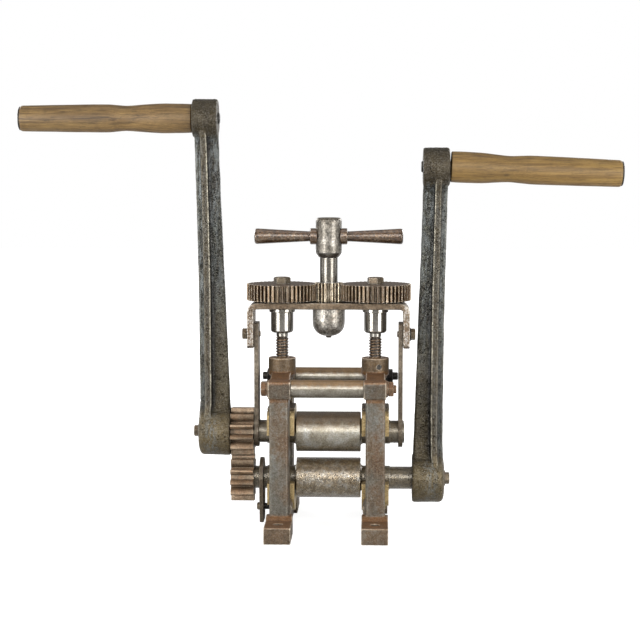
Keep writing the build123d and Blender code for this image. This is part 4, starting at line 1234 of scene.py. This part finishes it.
EAR_WASHERS = [
    [(100.0, 4.05), (100.0, 8.5, 0.3), (101.6, 8.4, 0.5), (101.6, 4.05)],
    [(91.5, 4.05), (91.5, 8.5), (92.0, 8.5), (92.0, 4.05)],
]
for (sign, side), turn in zip(SIDES, (20, 8)):
    bolt = hex_head(f"hex_{side}_ear_bolt", "X", sign, (sign * 101.6, 0, EAR_Z), across=13,
                    height=5.6, mat=fastener_steel, turn=turn, shank=(17.1, 4.0))
    own(bolt, "bridge", "fastener_steel", *(["ear_bolts"] if sign < 0 else []))
    washers = [lathe("washer", profile, "X", (0, 0, EAR_Z), fastener_steel, segs=56,
                     closed=True, sign=sign) for profile in EAR_WASHERS]
    own(join(side + "_ear_washers", washers, dark_fastener), "bridge", "fastener_steel",
        *(["ear_washers"] if sign < 0 else []))

# ------------------------------------------------------------------ tie bars
# A bolt and nut at the front; a stud with a nut at each end at the rear, where the dark finish
# on stud, nuts and washers is painted shade
TIE_SEAT_X = 73.2
TIE_HEX = dict(across=17, washer_face=0.5)
for sign, end, mat in ((-1, "front", rusted_nut), (1, "rear", dark_fastener)):
    y = sign * TIE_Y
    front = sign < 0
    tube = lathe(end + "_tie_tube", [
        (-44.0, 5.3), (-44.0, 10.6, 0.4), (-43.4, 11), (43.4, 11), (44.0, 10.6, 0.4),
        (44.0, 5.3),
    ], "X", (0, y, TIE_Z), bar_steel, steps=2, closed=True)
    own(tube, "frame", "bright_steel", end + "_tie_spacer")
    washer = [(71.2, 5.05), (71.2, 10.2, 0.3), (TIE_SEAT_X, 10.0, 0.5), (TIE_SEAT_X, 5.05)]
    washers = [lathe("washer", washer, "X", (0, y, TIE_Z), mat, segs=64, closed=True,
                     sign=side_sign) for side_sign in (-1, 1)]
    own(join(end + "_tie_washers", washers, mat), "frame", "fastener_steel",
        *(["tie_washers"] if front else []))
    nut = hex_head(end + "_tie_nut", "X", 1, (TIE_SEAT_X, y, TIE_Z), height=7.0, mat=mat,
                   turn=18 if front else 30, **TIE_HEX)
    own(nut, "frame", "fastener_steel", *(["tie_nuts"] if front else []))
    left_seat = (-TIE_SEAT_X, y, TIE_Z)
    if front:
        bolt = hex_head("front_tie_bolt", "X", -1, left_seat, height=6.8, mat=mat, turn=30,
                        shank=(156.8, 5.0), **TIE_HEX)
        own(bolt, "frame", "fastener_steel", "tie_bolts")
    else:
        stud = lathe("rear_tie_stud", [
            (-86.0, 0), (-86.0, 4.2, 0.3), (-85.2, 5.0, 0.3), (85.8, 5.0, 0.3),
            (86.6, 4.2, 0.3), (86.6, 0),
        ], "X", (0, y, TIE_Z), dark_fastener, segs=48, steps=2)
        own(stud, "frame", "fastener_steel")
        nut = hex_head("rear_tie_nut_left", "X", -1, left_seat, height=7.0, mat=mat, turn=12,
                       **TIE_HEX)
        own(nut, "frame", "fastener_steel")


# ------------------------------------------------------------------ bearings, pads, keeper
def eased_copy(name, node, mat, body, slot):
    """A CAD piece with its edges eased."""
    ob = copy_node(name, node, mat)
    bevel(ob, 0.5, 2, 35)
    smooth_shade(ob, 38)
    own(ob, body, slot, node)


for _, side in SIDES:
    for level, body in (("lower", "frame"), ("upper", "bridge")):
        node = f"{side}_{level}_bearing"
        eased_copy("brass_" + node, node, brass, body, "brass")
eased_copy("pads_over_brasses", "pressure_pads", fastener_steel, "bridge", "fastener_steel")

keeper = plate("flat_keeper_plate", [
    *arc(25, LOWER_Z, 0, math.pi), (-15.2, 7.0), (-13.2, 4.0), (13.2, 4.0), (15.2, 7.0),
], [circle(14.5, 64, 0, LOWER_Z), circle(3.02, 32, 0, 22.0)], "X", -85.5, -80.5, strap_steel,
    bevel_mm=0.5, bevel_segs=2, smooth=40)
own(keeper, "frame", "plate_steel", "keeper_plate")

# CAD pieces that stay, with a finish and a fine bevel
KEPT = {
    "left_screw_nut": bronze, "right_screw_nut": bronze, "nut_lock_screws": dark_fastener,
    "keeper_spacer": dark_fastener, "keeper_screw": fastener_steel,
    "screw_gear_key_left": fastener_steel, "screw_gear_key_right": fastener_steel,
    "upper_roll_keys": fastener_steel, "lower_roll_keys": fastener_steel,
}
for node, mat in KEPT.items():
    ob = NODES[node]
    ob.data.materials.clear()
    ob.data.materials.append(mat)
    bevel(ob, 0.15, 1, 40)

# ------------------------------------------------------------------ stage (metres)
VIEW_TURN = math.radians(2.0)   # the camera's turn about Z
VIEW_DROP = math.radians(5.63)  # its tilt below level


def build_world():
    """White to the camera; to everything else a grey that brightens towards +Y."""
    world = bpy.data.worlds.new("studio")
    bpy.context.scene.world = world
    g = Graph(world)
    direction = g.node("TexCoord").outputs["Generated"]
    depth = g.node("SeparateXYZ", {0: direction}).outputs["Y"]
    grey = g.step(g.math("MULTIPLY_ADD", depth, 0.5, 0.5), (0.15, 0.8),
                  ends=((0.24, 0.237, 0.232), (0.7, 0.7, 0.7)))
    lit = g.node("Background", {"Color": grey, "Strength": 0.55})
    seen = g.node("Background", {"Color": (1, 1, 1), "Strength": 1.0})
    camera_ray = g.node("LightPath").outputs["Is Camera Ray"]
    mixed = g.node("MixShader", {0: camera_ray, 1: lit.outputs[0], 2: seen.outputs[0]})
    g.node("OutputWorld", {0: mixed.outputs[0]})


def build_floor():
    """A pale floor whose glow, as the camera sees it, grows away from the mill, painting a soft
    shade round it; to all other rays it glows evenly, painting light onto the mill from below.
    """
    half = 6.0
    mesh = bpy.data.meshes.new("floor")
    corners = [(-half, -half, 0), (half, -half, 0), (half, half, 0), (-half, half, 0)]
    mesh.from_pydata(corners, [], [(0, 1, 2, 3)])
    mat = bpy.data.materials.new("pale_floor")
    g = Graph(mat)
    away = g.node("VectorMath", {0: g.geometry("Position")}, operation="LENGTH")
    extra = g.node("MapRange", {"Value": away.outputs["Value"], "From Min": 0.25,
                                "From Max": 1.6, "To Min": 0.54, "To Max": 0.9})
    camera_ray = g.node("LightPath").outputs["Is Camera Ray"]
    strength = g.math("MULTIPLY_ADD", camera_ray, extra.outputs[0], 0.26)
    glow = g.node("Emission", {"Color": (1, 1, 1), "Strength": strength})
    diffuse = g.node("BsdfDiffuse", {"Color": (0.4, 0.4, 0.4)})
    both = g.node("AddShader", {0: diffuse.outputs[0], 1: glow.outputs[0]})
    g.node("OutputMaterial", {0: both.outputs[0]})
    add_object("floor", mesh, mat)


def softbox(name, turn, distance, z, width, height, power, target):
    """turn is in degrees from the camera's side of the mill."""
    angle = math.radians(turn) + VIEW_TURN
    place = Vector((math.sin(angle) * distance, -math.cos(angle) * distance, z))
    light = bpy.data.lights.new(name, "AREA")
    light.shape = "RECTANGLE"
    light.size, light.size_y = width, height
    light.energy = power
    ob = bpy.data.objects.new(name, light)
    COLL.objects.link(ob)
    ob.location = place
    ob.rotation_euler = (Vector(target) - place).to_track_quat("-Z", "Y").to_euler()


build_world()
build_floor()
MILL = (0, 0, 0.22)
# name, turn (degrees), distance, height, width, height of the box, power (W), target
SOFTBOXES = (
    ("strip_left", -43, 2.0, 0.5, 1.0, 1.1, 44, MILL),
    ("strip_right", 43, 2.0, 0.5, 1.0, 1.1, 44, MILL),
    ("front_mid", 0, 2.35, 0.92, 1.0, 0.8, 20, (0, 0, 0.15)),
    ("front_top", 0, 2.3, 1.9, 1.5, 0.6, 14, MILL),
    ("top", 0, 0.15, 1.9, 1.8, 1.2, 10, (0, 0.1, 0.2)),
    ("side_left", -92, 2.0, 0.6, 0.8, 1.0, 16, MILL),
    ("side_right", 92, 2.0, 0.6, 0.8, 1.0, 16, MILL),
    ("back_left", 142, 2.1, 0.9, 0.9, 0.9, 20, MILL),
    ("back_right", -142, 2.1, 0.9, 0.9, 0.9, 20, MILL),
)
for row in SOFTBOXES:
    softbox(*row)

lens = bpy.data.cameras.new("camera")
lens.lens = 95.9
lens.sensor_width = 36.0
camera = bpy.data.objects.new("camera", lens)
COLL.objects.link(camera)
camera.location = (0.0625, -2.10, 0.4635)
view = Vector((-math.sin(VIEW_TURN) * math.cos(VIEW_DROP),
               math.cos(VIEW_TURN) * math.cos(VIEW_DROP), -math.sin(VIEW_DROP)))
camera.rotation_euler = view.to_track_quat("-Z", "Y").to_euler()
scene = bpy.context.scene
scene.camera = camera
scene.view_settings.view_transform = "Standard"
scene.view_settings.look = "None"

# Even shading on all but the floor and the cast skins
for ob in list(COLL.objects):
    if (ob.type == "MESH" and ob.name != "floor"
            and not ob.name.startswith(("cast_", "bent_bridge"))):
        weighted = ob.modifiers.new("weighted", "WEIGHTED_NORMAL")
        weighted.mode = "FACE_AREA"
        weighted.weight = 100
        weighted.keep_sharp = True
